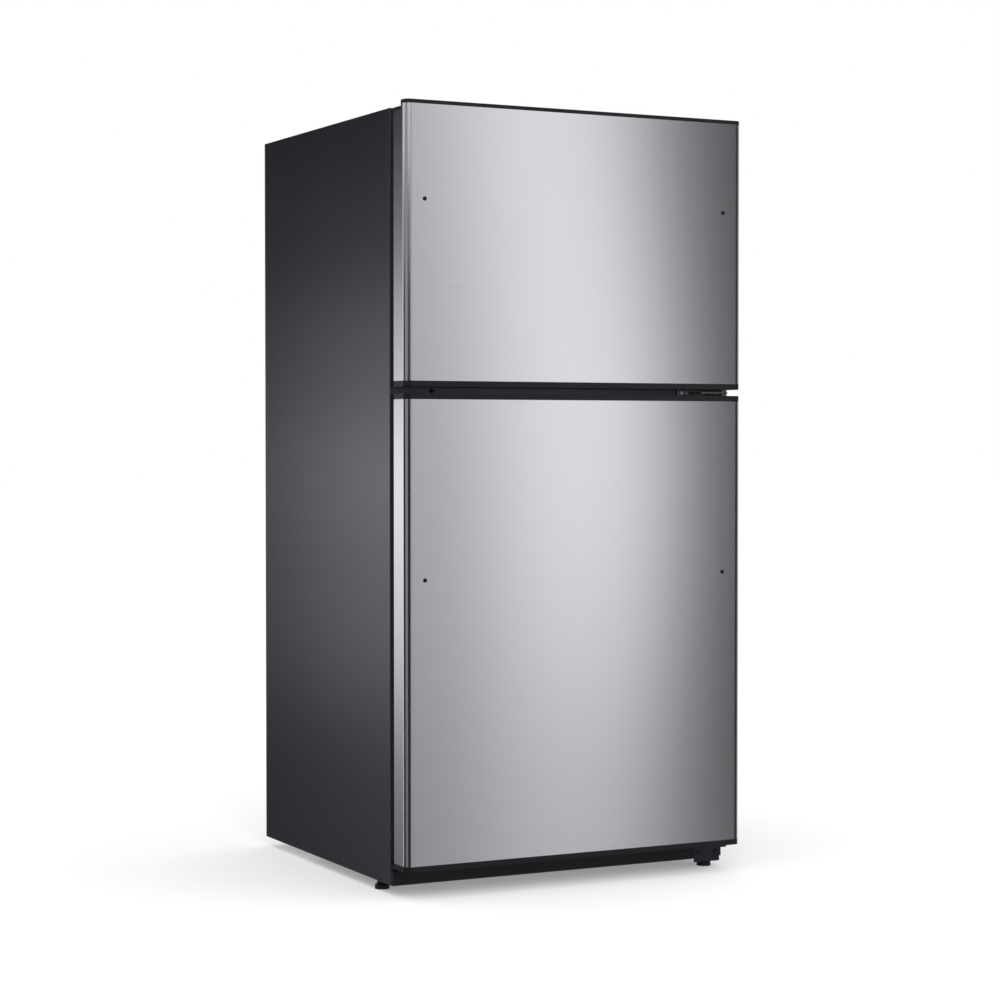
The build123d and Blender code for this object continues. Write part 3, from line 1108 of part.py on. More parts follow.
def main():
    os.makedirs("parts", exist_ok=True)
    panel = side_panel()
    drawer = crisper()
    pieces = {
        "side_panel_left": mirrored(panel),
        "side_panel_right": panel,
        "top_panel": top_panel(),
        "rear_panel": rear_panel(),
        "base_deck": base_deck(),
        "insulation": insulation(),
        "freezer_liner": freezer_liner(),
        "fridge_liner": fridge_liner(),
        "mullion_plate": mullion_plate(),
        "kick_plate": kick_plate(),
        "top_hinge": top_hinge(),
        "top_hinge_cover": top_hinge_cover(),
        "middle_hinge": middle_hinge(),
        "bottom_hinge": bottom_hinge(),
        "hinge_screws": hinge_screws(),
        "freezer_door_skin": freezer_skin(),
        "freezer_door_top_cap": freezer_top_cap(),
        "freezer_door_bottom_cap": end_cap(
            (FREEZER_DOOR_BOTTOM, FREEZER_STEEL_BOTTOM), (FREEZER_STEEL_BOTTOM, FREEZER_FOAM[0])
        ),
        "freezer_door_foam": door_foam(FREEZER_FOAM, FREEZER_DIKE, FREEZER_PLUG_Z),
        "freezer_door_liner": door_liner(FREEZER_LINING, FREEZER_DIKE),
        "freezer_door_gasket": gasket(FREEZER_SEAL),
        "freezer_door_bins": freezer_bins(),
        "freezer_door_plugs": door_plugs(FREEZER_PLUG_Z),
        "fridge_door_skin": door_skin((FRIDGE_STEEL_BOTTOM, FRIDGE_STEEL_TOP), FRIDGE_PLUG_Z),
        "fridge_door_top_cap": end_cap(
            (FRIDGE_STEEL_TOP, FRIDGE_DOOR_TOP), (FRIDGE_FOAM[1], FRIDGE_STEEL_TOP)
        ),
        "fridge_door_bottom_cap": end_cap(
            (FRIDGE_DOOR_BOTTOM, FRIDGE_STEEL_BOTTOM), (FRIDGE_STEEL_BOTTOM, FRIDGE_FOAM[0])
        ),
        "fridge_door_foam": door_foam(FRIDGE_FOAM, FRIDGE_DIKE, FRIDGE_PLUG_Z),
        "fridge_door_liner": door_liner(FRIDGE_LINING, FRIDGE_DIKE),
        "fridge_door_gasket": gasket(FRIDGE_SEAL),
        "fridge_door_bins": fridge_bins(),
        "fridge_door_plugs": door_plugs(FRIDGE_PLUG_Z),
        "dairy_bin": dairy_bin(),
        "dairy_lid": dairy_lid(),
        "shelf_frames": Compound(children=[shelf_frame(base, y) for base, y in shelves()]),
        "shelf_glass": Compound(children=[glass_block(base, y, FIT) for base, y in shelves()]),
        "crisper_left": mirrored(drawer),
        "crisper_right": drawer,
        "control_housing": control_housing(),
        "lamp_lens": lamp_lens(),
        "fridge_knob": knob(-1),
        "freezer_knob": knob(1),
        "switch_housing": switch_housing(),
        "switch_plunger": switch_plunger(),
        "evaporator": Compound(children=[evaporator(), defrost_heater()]),
        "evaporator_cover": evaporator_cover(),
        "evaporator_fan": cold_fan_place(fan(COLD_FAN_RADIUS)),
        "fan_motors": Compound(children=[cold_motor(), hot_motor()]),
        "condenser_fan": hot_fan_place(fan(HOT_FAN_RADIUS)),
        "base_pan": base_pan(),
        "roller_brackets": Compound(children=[roller_bracket(-1), roller_bracket(1)]),
        "rear_roller_left": roller(-1),
        "rear_roller_right": roller(1),
        "front_foot_left": foot(*FOOT_PLACES[0]),
        "front_foot_right": foot(*FOOT_PLACES[1]),
        "compressor": compressor(),
        "compressor_grommets": compressor_grommets(),
        "condenser": condenser(),
        "drain_pan": drain_pan(),
        "refrigerant_lines": refrigerant_lines(),
        "machine_cover": machine_cover(),
    }
    for name, shape in pieces.items():
        save(shape, name)
    print(len(pieces), "pieces")


main()
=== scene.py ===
# %% [markdown]
# # A top freezer refrigerator, dressed in Blender
#
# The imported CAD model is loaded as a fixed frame: every panel, hinge and drawer is already there
# at its real size, in metres. This lesson gives each piece its finish and models what solids leave
# plain: the pleated door seals, the rims of the bins, screws, plugs and dial marks.

# %% Load the frame
import bpy
import json
import math
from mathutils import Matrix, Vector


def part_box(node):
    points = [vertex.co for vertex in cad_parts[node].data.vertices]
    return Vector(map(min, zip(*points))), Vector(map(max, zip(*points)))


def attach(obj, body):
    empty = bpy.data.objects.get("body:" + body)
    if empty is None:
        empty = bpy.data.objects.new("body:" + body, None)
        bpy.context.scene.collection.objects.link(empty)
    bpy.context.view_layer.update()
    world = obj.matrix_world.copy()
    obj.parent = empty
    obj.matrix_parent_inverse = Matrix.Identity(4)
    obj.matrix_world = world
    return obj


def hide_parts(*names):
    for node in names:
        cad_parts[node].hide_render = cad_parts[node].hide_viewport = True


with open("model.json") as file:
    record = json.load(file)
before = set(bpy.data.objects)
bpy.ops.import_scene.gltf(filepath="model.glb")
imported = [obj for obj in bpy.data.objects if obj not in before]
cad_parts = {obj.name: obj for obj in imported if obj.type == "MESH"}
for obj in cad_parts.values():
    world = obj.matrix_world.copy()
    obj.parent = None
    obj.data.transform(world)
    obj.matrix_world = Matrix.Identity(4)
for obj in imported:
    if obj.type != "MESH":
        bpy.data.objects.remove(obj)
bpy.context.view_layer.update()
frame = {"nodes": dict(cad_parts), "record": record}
nodes = frame["nodes"]

# %% [markdown]
# ## Camera
#
# The photograph was taken from the left of the doors, a little above half height, with a long lens. The
# camera's place was found by lining up the cabinet's straight edges. Blender's camera looks along its own
# -Z, so it is first stood upright, then turned by the yaw and tipped by the pitch.

# %% Camera
QUARTER = math.pi / 2
CAMERA_PLACE = (-2.556, -5.0599, 0.9838)
CAMERA_YAW = math.radians(26.9)
CAMERA_PITCH = math.radians(1.5)
FOCAL_PIXELS = 2435.5
IMAGE_PIXELS = 1000
SENSOR_MM = 36.0

def deselect():
    """Leaves nothing selected, so that the next operator works on the new piece alone."""
    bpy.ops.object.select_all(action="DESELECT")

deselect()
bpy.ops.object.camera_add(location=CAMERA_PLACE, rotation=(QUARTER - CAMERA_PITCH, 0, -CAMERA_YAW))
camera = bpy.context.object
camera.name = "photo_camera"
camera.data.sensor_width = SENSOR_MM
camera.data.lens = SENSOR_MM * FOCAL_PIXELS / IMAGE_PIXELS
bpy.context.scene.camera = camera
print("lens", round(camera.data.lens, 2), "mm")

# %% [markdown]
# ## Studio
#
# A white sweep and soft light all round. Brushed steel shows little of itself and much of the room, so
# what it mirrors is part of the finish. Photographers stand bright cards and black flags round steel for
# this. The same is done here with planes that only mirror rays see: a bright card in front on the
# right shades the doors from left to right, another behind on the left lights the middle of the cabinet
# side, and narrow black flags close to the edges of the doors draw dark lines down their rounding.
#
# The world lights the object with one strength and is seen, in mirrors and glass too, as plain white.
# The Light Path node tells the kinds of ray apart.

# %% World
WORLD_LIGHT = 1.12
WHITE = (1, 1, 1, 1)

def reckon(tree, operation, *values):
    """A Math node on sockets and plain numbers."""
    node = tree.nodes.new("ShaderNodeMath")
    node.operation = operation
    for socket, value in zip(node.inputs, values):
        if isinstance(value, float):
            socket.default_value = value
        else:
            tree.links.new(value, socket)
    return node.outputs[0]

world = bpy.data.worlds.new("studio")
bpy.context.scene.world = world
world.use_nodes = True
world_tree = world.node_tree
lit = world_tree.nodes["Background"]
lit.inputs["Color"].default_value = WHITE
lit.inputs["Strength"].default_value = WORLD_LIGHT
seen = world_tree.nodes.new("ShaderNodeBackground")
seen.inputs["Color"].default_value = WHITE
seen.inputs["Strength"].default_value = 1.0
rays = world_tree.nodes.new("ShaderNodeLightPath").outputs
mirrored = reckon(world_tree, "MAXIMUM", rays["Is Camera Ray"], rays["Is Glossy Ray"])
either = reckon(world_tree, "MAXIMUM", mirrored, rays["Is Transmission Ray"])
mix = world_tree.nodes.new("ShaderNodeMixShader")
world_tree.links.new(either, mix.inputs["Fac"])
world_tree.links.new(lit.outputs[0], mix.inputs[1])
world_tree.links.new(seen.outputs[0], mix.inputs[2])
world_tree.links.new(mix.outputs[0], world_tree.nodes["World Output"].inputs["Surface"])
print("world light", WORLD_LIGHT)

# %% [markdown]
# ## Floor
#
# The floor is one large plane, so that its far edge melts into the white world. A product shot burns the
# floor out to white. More light would burn out the object too, so the floor glows a little by itself
# instead, and still keeps the soft shadow under the cabinet.

# %% Floor
FLOOR_SIZE = 80.0
FLOOR_DROP = 0.0005
FLOOR_GREY = 0.7
FLOOR_GLOW = 0.26

deselect()
bpy.ops.mesh.primitive_plane_add(size=FLOOR_SIZE, location=(0, 0, -FLOOR_DROP))
floor = bpy.context.object
floor.name = "studio_floor"
floor.visible_glossy = False
floor_paint = bpy.data.materials.new("floor_paint")
floor_paint.use_nodes = True
floor_shader = floor_paint.node_tree.nodes["Principled BSDF"]
floor_shader.inputs["Base Color"].default_value = (FLOOR_GREY, FLOOR_GREY, FLOOR_GREY, 1)
floor_shader.inputs["Roughness"].default_value = 1.0
floor_shader.inputs["Specular IOR Level"].default_value = 0.0
floor_shader.inputs["Emission Color"].default_value = WHITE
floor_shader.inputs["Emission Strength"].default_value = FLOOR_GLOW
floor.data.materials.append(floor_paint)
print("floor", FLOOR_SIZE, "m square")

# %% [markdown]
# ## Cards and flags
#
# A card is a plane that glows, and its glow is a blend, because the edge of a real card melts away in
# brushed steel. It is hidden from the camera, from matt surfaces and from shadows, so it changes only
# what is mirrored. A colour ramp across times a colour ramp upwards gives the blend. A plane of size 1 has
# Object coordinates from -0.5 to 0.5, whatever its scale, so adding a half makes them shares of its
# length.

# %% Card glow
def blend(tree, along, stops):
    """A level that follows a list of (share of the length, level)."""
    ramp = tree.nodes.new("ShaderNodeValToRGB")
    ramp.color_ramp.interpolation = "EASE"
    while len(ramp.color_ramp.elements) < len(stops):
        ramp.color_ramp.elements.new(0.5)
    for element, (position, level) in zip(ramp.color_ramp.elements, stops):
        element.position = position
        element.color = (level, level, level, 1)
    tree.links.new(reckon(tree, "ADD", along, 0.5), ramp.inputs["Fac"])
    return ramp.outputs["Color"]

def card_glow(name, across, up, bow):
    """A glow that is a blend across times a blend upwards. A bow bends the upright edges of the blend
    away from half height."""
    material = bpy.data.materials.new(name)
    material.use_nodes = True
    tree = material.node_tree
    tree.nodes.remove(tree.nodes["Principled BSDF"])
    axes = tree.nodes.new("ShaderNodeSeparateXYZ")
    tree.links.new(tree.nodes.new("ShaderNodeTexCoord").outputs["Object"], axes.inputs[0])
    from_half_height = reckon(tree, "ABSOLUTE", axes.outputs["Y"])
    bowed = reckon(tree, "MULTIPLY_ADD", from_half_height, bow, axes.outputs["X"])
    level = reckon(tree, "MULTIPLY", blend(tree, bowed, across), blend(tree, axes.outputs["Y"], up))
    glow = tree.nodes.new("ShaderNodeEmission")
    tree.links.new(level, glow.inputs["Strength"])
    tree.links.new(glow.outputs[0], tree.nodes["Material Output"].inputs["Surface"])
    return material

# %% Card maker
FACING_FRONT = 0.0
FACING_SIDE = QUARTER

def studio_card(name, middle, size, across, up, turn=FACING_FRONT, lean=0.0, bow=0.0):
    """An upright plane that only mirror rays see, turned about the upright axis and leaned."""
    deselect()
    bpy.ops.mesh.primitive_plane_add(size=1, location=middle, rotation=(QUARTER, lean, turn))
    card = bpy.context.object
    card.name = name
    card.scale = (*size, 1)
    card.visible_camera = False
    card.visible_diffuse = False
    card.visible_transmission = False
    card.visible_shadow = False
    card.data.materials.append(card_glow(name, across, up, bow))
    print("card", name, "of", size, "m")

# %% [markdown]
# The bright card in front is mirrored by both doors, and its blend across is what shades them from light
# at the left to dark at the right. The card behind the left side is mirrored, long and low, by the painted
# side.

# %% Cards in front and behind
FRONT_ACROSS = [
    (0.0, 0.78), (0.129, 0.5), (0.251, 0.59), (0.36, 1.38), (0.395, 1.4), (0.464, 0.17), (0.508, 0.0),
    (0.57, 0.0), (0.69, 0.8), (0.85, 0.55), (1.0, 0.5),
]
FRONT_UP = [(0.0, 0.33), (0.24, 0.5), (0.42, 0.95), (0.5, 1.02), (0.62, 0.94), (0.75, 0.9), (1.0, 0.9)]
BACK_ACROSS = [(0.0, 1.2), (0.15, 1.0), (0.31, 0.25), (0.45, 0.03), (1.0, 0.0)]
BACK_UP = [(0.2, 0.12), (0.28, 0.24), (0.36, 1.0), (0.41, 1.38), (0.46, 0.75), (0.51, 0.2), (0.57, 0.0)]

studio_card(
    "front_card", middle=(2.47, -3.4, 1.0), size=(5.74, 5.0), across=FRONT_ACROSS, up=FRONT_UP, lean=-0.05,
    bow=0.087,
)
studio_card(
    "back_card", middle=(-1.2, 3.3, 1.5), size=(5.4, 7.0), across=BACK_ACROSS, up=BACK_UP, turn=FACING_SIDE
)

# %% [markdown]
# The left card and the card beside the camera shade the doors when they are seen from the right, and the
# right card does so when they are seen from the far left.

# %% Cards at the sides
LEFT_ACROSS = [(0.0, 0.5), (0.2, 1.0), (0.33, 0.45), (0.4, 0.38), (0.66, 0.38), (0.76, 0.5), (1.0, 0.9)]
LEFT_UP = [(0.36, 0.55), (0.42, 0.5), (0.48, 0.95), (0.56, 1.0), (0.7, 0.9)]
CAMERA_ACROSS = [(0.0, 0.5), (0.3, 1.1), (0.6, 0.55), (1.0, 0.78)]
RIGHT_ACROSS = [
    (0.0, 0.6), (0.12, 0.75), (0.27, 0.4), (0.39, 0.95), (0.5, 0.15), (0.62, 0.1), (0.8, 0.5), (1.0, 0.1),
]
RIGHT_UP = [(0.3, 0.3), (0.45, 0.6), (0.56, 1.0), (0.8, 0.6)]

studio_card(
    "left_card", middle=(-3.3, -2.2, 1.0), size=(9.0, 14.0), across=LEFT_ACROSS, up=LEFT_UP,
    turn=FACING_SIDE,
)
studio_card(
    "right_card", middle=(3.6, 1.2, 1.0), size=(9.0, 14.0), across=RIGHT_ACROSS, up=RIGHT_UP,
    turn=FACING_SIDE,
)
studio_card("camera_card", middle=(-1.95, -6.7, 1.0), size=(3.1, 14.0), across=CAMERA_ACROSS, up=LEFT_UP)

# %% [markdown]
# The flags stand about 40 mm from the rounded edges of the doors. Further off, they would have to be wide,
# and would blacken the whole door in other views. The two at the left edge turn bright towards the top,
# where the dark lines of the photograph fade out.

# %% Flags at the door edges
EVEN = [(0.0, 1.0), (1.0, 1.0)]
DARK = [(0.0, 0.03), (1.0, 0.03)]
FADING_UP = [(0.5, 0.02), (0.675, 0.09), (0.765, 0.27), (0.86, 0.68), (0.925, 0.85)]
FLAG_HEIGHT = 2.0
FLAG_MIDDLE = 0.9

door_low, door_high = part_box("freezer_door_skin")

def edge_flag(name, corner_x, shift, width, up, turn):
    """A flag beside a front corner of the doors, at a shift across and in depth."""
    middle = (corner_x + shift[0], door_low[1] + shift[1], FLAG_MIDDLE)
    studio_card(name, middle, (width, FLAG_HEIGHT), EVEN, up, turn)

left, right = door_low[0], door_high[0]
edge_flag("front_edge_flag", left, shift=(-0.0152, -0.0418), width=0.0535, up=FADING_UP, turn=FACING_FRONT)
edge_flag("side_edge_flag", left, shift=(-0.039, 0.0247), width=0.037, up=FADING_UP, turn=FACING_SIDE)
edge_flag("right_edge_flag", right, shift=(0.034, -0.0288), width=0.05, up=DARK, turn=FACING_SIDE)

# %% [markdown]
# ## Lamps
#
# The world alone would light every side alike. Two large area lamps add a soft key from the upper left and
# a weaker fill from the right. They are hidden from mirror rays, because the cards do that work.

# %% Lamps
LAMP_SIZE = 2.0
LAMP_TARGET = (0, 0, 0.85)

def soft_light(name, place, power):
    """A square area lamp that faces the middle of the object."""
    bpy.ops.object.light_add(type="AREA", location=place)
    lamp = bpy.context.object
    lamp.name = name
    lamp.data.size = LAMP_SIZE
    lamp.data.energy = power
    lamp.visible_glossy = False
    aim = [t - p for t, p in zip(LAMP_TARGET, place)]
    flat = math.hypot(aim[0], aim[1])
    lamp.rotation_euler = (math.atan2(flat, -aim[2]), 0, math.atan2(-aim[0], aim[1]))
    print(name, power, "W")

soft_light("key_light", place=(-1.6, -4.4, 3.4), power=60)
soft_light("fill_light", place=(2.6, -3.6, 1.8), power=25)

# %% [markdown]
# ## Finishes
#
# Each finish is a small node tree on Object coordinates, so a grain keeps its real size on every piece.
# Noise drives the shade, the gloss and the bump through small helpers.

# %% Finish helpers
def new_finish(name):
    """A material with its node tree, its shader and its object coordinates."""
    material = bpy.data.materials.new(name)
    material.use_nodes = True
    tree = material.node_tree
    place = tree.nodes.new("ShaderNodeTexCoord")
    return material, tree, tree.nodes["Principled BSDF"], place.outputs["Object"]

def grain(tree, place, scale, detail=3.0, stretch=(1, 1, 1)):
    """Noise at a real scale, stretched along the axes that a grain follows."""
    mapping = tree.nodes.new("ShaderNodeMapping")
    mapping.inputs["Scale"].default_value = stretch
    tree.links.new(place, mapping.inputs["Vector"])
    noise = tree.nodes.new("ShaderNodeTexNoise")
    noise.inputs["Scale"].default_value = scale
    noise.inputs["Detail"].default_value = detail
    tree.links.new(mapping.outputs[0], noise.inputs["Vector"])
    return noise.outputs["Fac"]

TINT_START = 0.3
TINT_END = 0.7

def tint(tree, shader, value, dark, light):
    """Colour that wanders between two shades."""
    ramp = tree.nodes.new("ShaderNodeValToRGB")
    ramp.color_ramp.elements[0].position = TINT_START
    ramp.color_ramp.elements[1].position = TINT_END
    ramp.color_ramp.elements[0].color = (*dark, 1)
    ramp.color_ramp.elements[1].color = (*light, 1)
    tree.links.new(value, ramp.inputs["Fac"])
    tree.links.new(ramp.outputs["Color"], shader.inputs["Base Color"])

def gloss(tree, shader, value, rough):
    """Roughness that wanders between two values."""
    span = tree.nodes.new("ShaderNodeMapRange")
    span.inputs["To Min"].default_value = rough[0]
    span.inputs["To Max"].default_value = rough[1]
    tree.links.new(value, span.inputs["Value"])
    tree.links.new(span.outputs[0], shader.inputs["Roughness"])

def relief(tree, shader, value, strength, depth):
    """Fine bumps of a depth in metres."""
    bump = tree.nodes.new("ShaderNodeBump")
    bump.inputs["Strength"].default_value = strength
    bump.inputs["Distance"].default_value = depth
    tree.links.new(value, bump.inputs["Height"])
    tree.links.new(bump.outputs["Normal"], shader.inputs["Normal"])

# %% [markdown]
# ## Door steel
#
# The door sheet is ground along its length with a belt, which leaves fine scratches from side to side. A
# mirror image in it stays sharp along the scratches and is smeared up and down. Bump alone would need
# millions of lines, so the smear comes from the shader's anisotropy, with its tangent laid round the
# upright axis, and a stretched noise adds the lines that an eye can still tell apart.

# %% Door steel
SCRATCH_STRETCH = (5, 5, 1800)

def brushed_steel():
    """Stainless sheet ground along X: mirrors spread up and down, across the grain."""
    material, tree, shader, place = new_finish("door_steel")
    shader.inputs["Metallic"].default_value = 1.0
    shader.inputs["Anisotropic"].default_value = 0.85
    shader.inputs["Anisotropic Rotation"].default_value = 0.25
    lines = grain(tree, place, scale=1.0, detail=2.0, stretch=SCRATCH_STRETCH)
    tint(tree, shader, lines, dark=(0.608, 0.592, 0.636), light=(0.643, 0.627, 0.672))
    gloss(tree, shader, lines, rough=(0.21, 0.25))
    relief(tree, shader, lines, strength=0.02, depth=0.00005)
    tangent = tree.nodes.new("ShaderNodeTangent")
    tangent.direction_type = "RADIAL"
    tangent.axis = "Z"
    tree.links.new(tangent.outputs[0], shader.inputs["Tangent"])
    return material

steel = brushed_steel()
print("made", steel.name)

# %% [markdown]
# ## Paint, black plastic and rubber
#
# The cabinet is coil coated in a near black charcoal with a violet cast and a silky gloss, under a very
# fine orange peel. Caps, kick plate, plugs and feet are black plastic with a spark-eroded grain, which
# takes the gloss down. The seals are grey rubber. All three share one plain finish and differ in shade,
# gloss and size of grain. What the paint and the plastic mirror is tinted a little, which gives the cast.

# %% Paint, black plastic and rubber
SHADE_SCALE = 3.0
GRAIN_DEPTH = 0.0002

def plain_finish(name, dark, light, rough, scale, bump, metallic=0.0):
    """A moulded, painted, plated or rubber finish: wandering shade, wandering gloss and a fine grain."""
    material, tree, shader, place = new_finish(name)
    shader.inputs["Metallic"].default_value = metallic
    tint(tree, shader, grain(tree, place, SHADE_SCALE), dark, light)
    fine = grain(tree, place, scale, detail=4.0)
    gloss(tree, shader, fine, rough)
    relief(tree, shader, fine, bump, GRAIN_DEPTH)
    return material

def mirror_tint(material, level, colour):
    """Sets how strongly a finish mirrors, and in which colour."""
    shader = material.node_tree.nodes["Principled BSDF"]
    shader.inputs["Specular IOR Level"].default_value = level
    shader.inputs["Specular Tint"].default_value = (*colour, 1)

charcoal = plain_finish(
    "cabinet_paint", dark=(0.0125, 0.0118, 0.015), light=(0.0145, 0.0138, 0.0175), rough=(0.24, 0.28),
    scale=700, bump=0.03,
)
mirror_tint(charcoal, level=0.7, colour=(0.73, 0.71, 1.0))
black = plain_finish(
    "black_plastic", dark=(0.0064, 0.0058, 0.0072), light=(0.0096, 0.0088, 0.0104), rough=(0.42, 0.52),
    scale=900, bump=0.1,
)
mirror_tint(black, level=0.22, colour=(0.95, 0.88, 1.0))
rubber = plain_finish(
    "seal", dark=(0.16, 0.16, 0.165), light=(0.20, 0.20, 0.205), rough=(0.55, 0.7), scale=500, bump=0.2
)
print("made", charcoal.name, black.name, rubber.name)

# %% [markdown]
# ## Zinc
#
# The top hinge and the roller brackets are zinc plated, a soft grey shine. The sheets at the back are
# hot-dip galvanised, and there the zinc freezes in crystals as wide as a fingernail. A Voronoi texture
# gives every crystal its own shade and its own gloss. The hinge between the doors is blackened, so that it
# does not shine out of its dark gap. The screws are one node, and near the floor they get painted shade:
# their colour is painted darker low down, so that they do not shine out of the dark gaps there.

# %% Zinc
zinc = plain_finish(
    "zinc_steel", dark=(0.46, 0.47, 0.49), light=(0.56, 0.57, 0.60), rough=(0.28, 0.42), scale=120,
    bump=0.05, metallic=1.0,
)
dark_zinc = plain_finish(
    "dark_zinc", dark=(0.11, 0.11, 0.118), light=(0.15, 0.15, 0.16), rough=(0.24, 0.36), scale=160,
    bump=0.05, metallic=1.0,
)

def zinc_spangle():
    """Galvanised sheet: crystals of zinc, each a little lighter or darker than the next."""
    material, tree, shader, place = new_finish("galvanised")
    shader.inputs["Metallic"].default_value = 0.75
    crystals = tree.nodes.new("ShaderNodeTexVoronoi")
    crystals.inputs["Scale"].default_value = 150.0
    tree.links.new(place, crystals.inputs["Vector"])
    shade = tree.nodes.new("ShaderNodeSeparateColor")
    tree.links.new(crystals.outputs["Color"], shade.inputs[0])
    tint(tree, shader, shade.outputs[0], dark=(0.39, 0.40, 0.41), light=(0.43, 0.44, 0.45))
    gloss(tree, shader, shade.outputs[1], rough=(0.36, 0.48))
    return material

def screw_steel():
    """Zinc plated screws, with painted shade that darkens those near the floor."""
    material, tree, shader, place = new_finish("screw_steel")
    shader.inputs["Metallic"].default_value = 1.0
    axes = tree.nodes.new("ShaderNodeSeparateXYZ")
    tree.links.new(place, axes.inputs[0])
    # Painted shade: below 0.3 m the zinc turns near black, as if the screws near the floor stood in shade;
    # above 0.7 m they are plain zinc grey.
    tint(tree, shader, axes.outputs["Z"], dark=(0.05, 0.05, 0.055), light=(0.52, 0.53, 0.55))
    fine = grain(tree, place, scale=400, detail=4.0)
    gloss(tree, shader, fine, rough=(0.3, 0.42))
    relief(tree, shader, fine, strength=0.05, depth=0.0001)
    return material

galvanised = zinc_spangle()
screws = screw_steel()
print("made", zinc.name, dark_zinc.name, galvanised.name, screws.name)

# %% [markdown]
# ## Liners and machine parts
#
# The liners are vacuum formed from glossy off-white sheet. Foam shows only where a wall is cut open. The
# compressor and the condenser are enamelled black, the lines are copper, and the cold coil is bare
# aluminium.

# %% Liners and machine parts
liner = plain_finish(
    "liner_plastic", dark=(0.63, 0.64, 0.65), light=(0.67, 0.68, 0.69), rough=(0.24, 0.30), scale=250,
    bump=0.01,
)
white = plain_finish(
    "white_plastic", dark=(0.66, 0.67, 0.68), light=(0.70, 0.71, 0.72), rough=(0.3, 0.36), scale=300,
    bump=0.01,
)
foam = plain_finish(
    "foam", dark=(0.70, 0.62, 0.40), light=(0.78, 0.70, 0.48), rough=(0.8, 0.95), scale=400, bump=0.4
)
enamel = plain_finish(
    "compressor_paint", dark=(0.010, 0.010, 0.011), light=(0.016, 0.016, 0.017), rough=(0.18, 0.3),
    scale=150, bump=0.05,
)
copper = plain_finish(
    "copper", dark=(0.55, 0.25, 0.14), light=(0.70, 0.36, 0.22), rough=(0.25, 0.45), scale=200, bump=0.05,
    metallic=1.0,
)
fin_metal = plain_finish(
    "coil_metal", dark=(0.62, 0.63, 0.64), light=(0.74, 0.75, 0.76), rough=(0.3, 0.45), scale=200,
    bump=0.05, metallic=1.0,
)
print("made", liner.name, white.name, foam.name, enamel.name, copper.name, fin_metal.name)

# %% [markdown]
# ## Clear plastic and glass
#
# Bins and drawers are clear crystal plastic, and the shelves are tempered glass with a green edge. Light
# passes through two faces of each wall, so a tint counts twice and is kept pale. The lens over the lamp
# is frosted, and glows a little as if the lamp behind it were on.

# %% Clear plastic and glass
CLEAR_IOR = 1.45
MARK_SHADE_SCALE = 4.0
MARK_SCALE = 150
LENS_COLOUR = (1.0, 0.95, 0.86, 1)
LENS_GLOW = 1.2

def see_through(name, dark, light, rough, clear):
    """Clear plastic or glass: light passes, with faint moulding marks in the gloss."""
    material, tree, shader, place = new_finish(name)
    shader.inputs["Transmission Weight"].default_value = clear
    shader.inputs["IOR"].default_value = CLEAR_IOR
    tint(tree, shader, grain(tree, place, MARK_SHADE_SCALE), dark, light)
    gloss(tree, shader, grain(tree, place, MARK_SCALE), rough)
    return material

clear = see_through(
    "clear_plastic", dark=(0.91, 0.94, 0.955), light=(0.945, 0.965, 0.975), rough=(0.03, 0.08), clear=0.95
)
glass = see_through(
    "shelf_glass", dark=(0.90, 0.965, 0.94), light=(0.93, 0.98, 0.96), rough=(0.01, 0.03), clear=0.97
)
frosted = see_through(
    "lamp_lens", dark=(0.90, 0.90, 0.88), light=(0.94, 0.94, 0.92), rough=(0.35, 0.5), clear=0.8
)
frosted_shader = frosted.node_tree.nodes["Principled BSDF"]
frosted_shader.inputs["Emission Color"].default_value = LENS_COLOUR
frosted_shader.inputs["Emission Strength"].default_value = LENS_GLOW
print("made", clear.name, glass.name, frosted.name)

# %% [markdown]
# ## Dress the frame
#
# The record names a material slot for every node of the frame. One loop over it gives each node the
# finish of its slot, so a node is never forgotten. Three nodes then get a finish of their own. The meshes
# stay as they are.

# %% Dress the frame
FINISH_OF_SLOT = {
    "cabinet_paint": charcoal, "door_steel": steel, "zinc_steel": zinc, "black_plastic": black,
    "liner_plastic": liner, "white_plastic": white, "clear_plastic": clear, "seal": rubber, "foam": foam,
    "shelf_glass": glass, "compressor_paint": enamel, "copper": copper, "coil_aluminium": fin_metal,
    "galvanised": galvanised,
}
OWN_FINISH = {"lamp_lens": frosted, "hinge_screws": screws, "middle_hinge": dark_zinc}

for part in frame["record"]["subparts"]:
    mesh = nodes[part["node"]].data
    mesh.materials.clear()
    mesh.materials.append(FINISH_OF_SLOT[part["material_slot"]])
for node, finish in OWN_FINISH.items():
    nodes[node].data.materials[0] = finish

# %% [markdown]
# ## Modelling by hand
#
# The pieces below start as a primitive at its size and place, and are then shaped in edit mode, as one
# would do with the mouse. A few small helpers keep the cells short. Every finished piece has its scale
# and place applied, and rides on a body of the frame so that it swings or slides with it.

# %% Helpers that add a piece
TURN_TO = {"Y": (QUARTER, 0, 0), "Z": (0, 0, 0)}

def named(name):
    """Names the piece just added and applies its place, turn and scale."""
    piece = bpy.context.object
    piece.name = name
    bpy.ops.object.transform_apply(location=True, rotation=True, scale=True)
    return piece

def add_block(name, low, high):
    """A cube between two corners."""
    deselect()
    middle = [(a + b) / 2 for a, b in zip(low, high)]
    bpy.ops.mesh.primitive_cube_add(size=1, location=middle)
    bpy.context.object.scale = [b - a for a, b in zip(low, high)]
    return named(name)

def add_rod(name, middle, radius, length, axis, sides=32):
    """A cylinder along the depth or the height of the object."""
    deselect()
    bpy.ops.mesh.primitive_cylinder_add(
        vertices=sides, radius=radius, depth=length, location=middle, rotation=TURN_TO[axis]
    )
    return named(name)

def select_only(piece):
    """Selects one piece, so that the next operator works on it alone."""
    deselect()
    piece.select_set(True)
    bpy.context.view_layer.objects.active = piece

def add_copy(piece, name, shift=(0, 0, 0)):
    """A copy of a piece, with its own mesh, at a shift from the first."""
    select_only(piece)
    bpy.ops.object.duplicate(linked=False)
    bpy.context.object.location = shift
    return named(name)

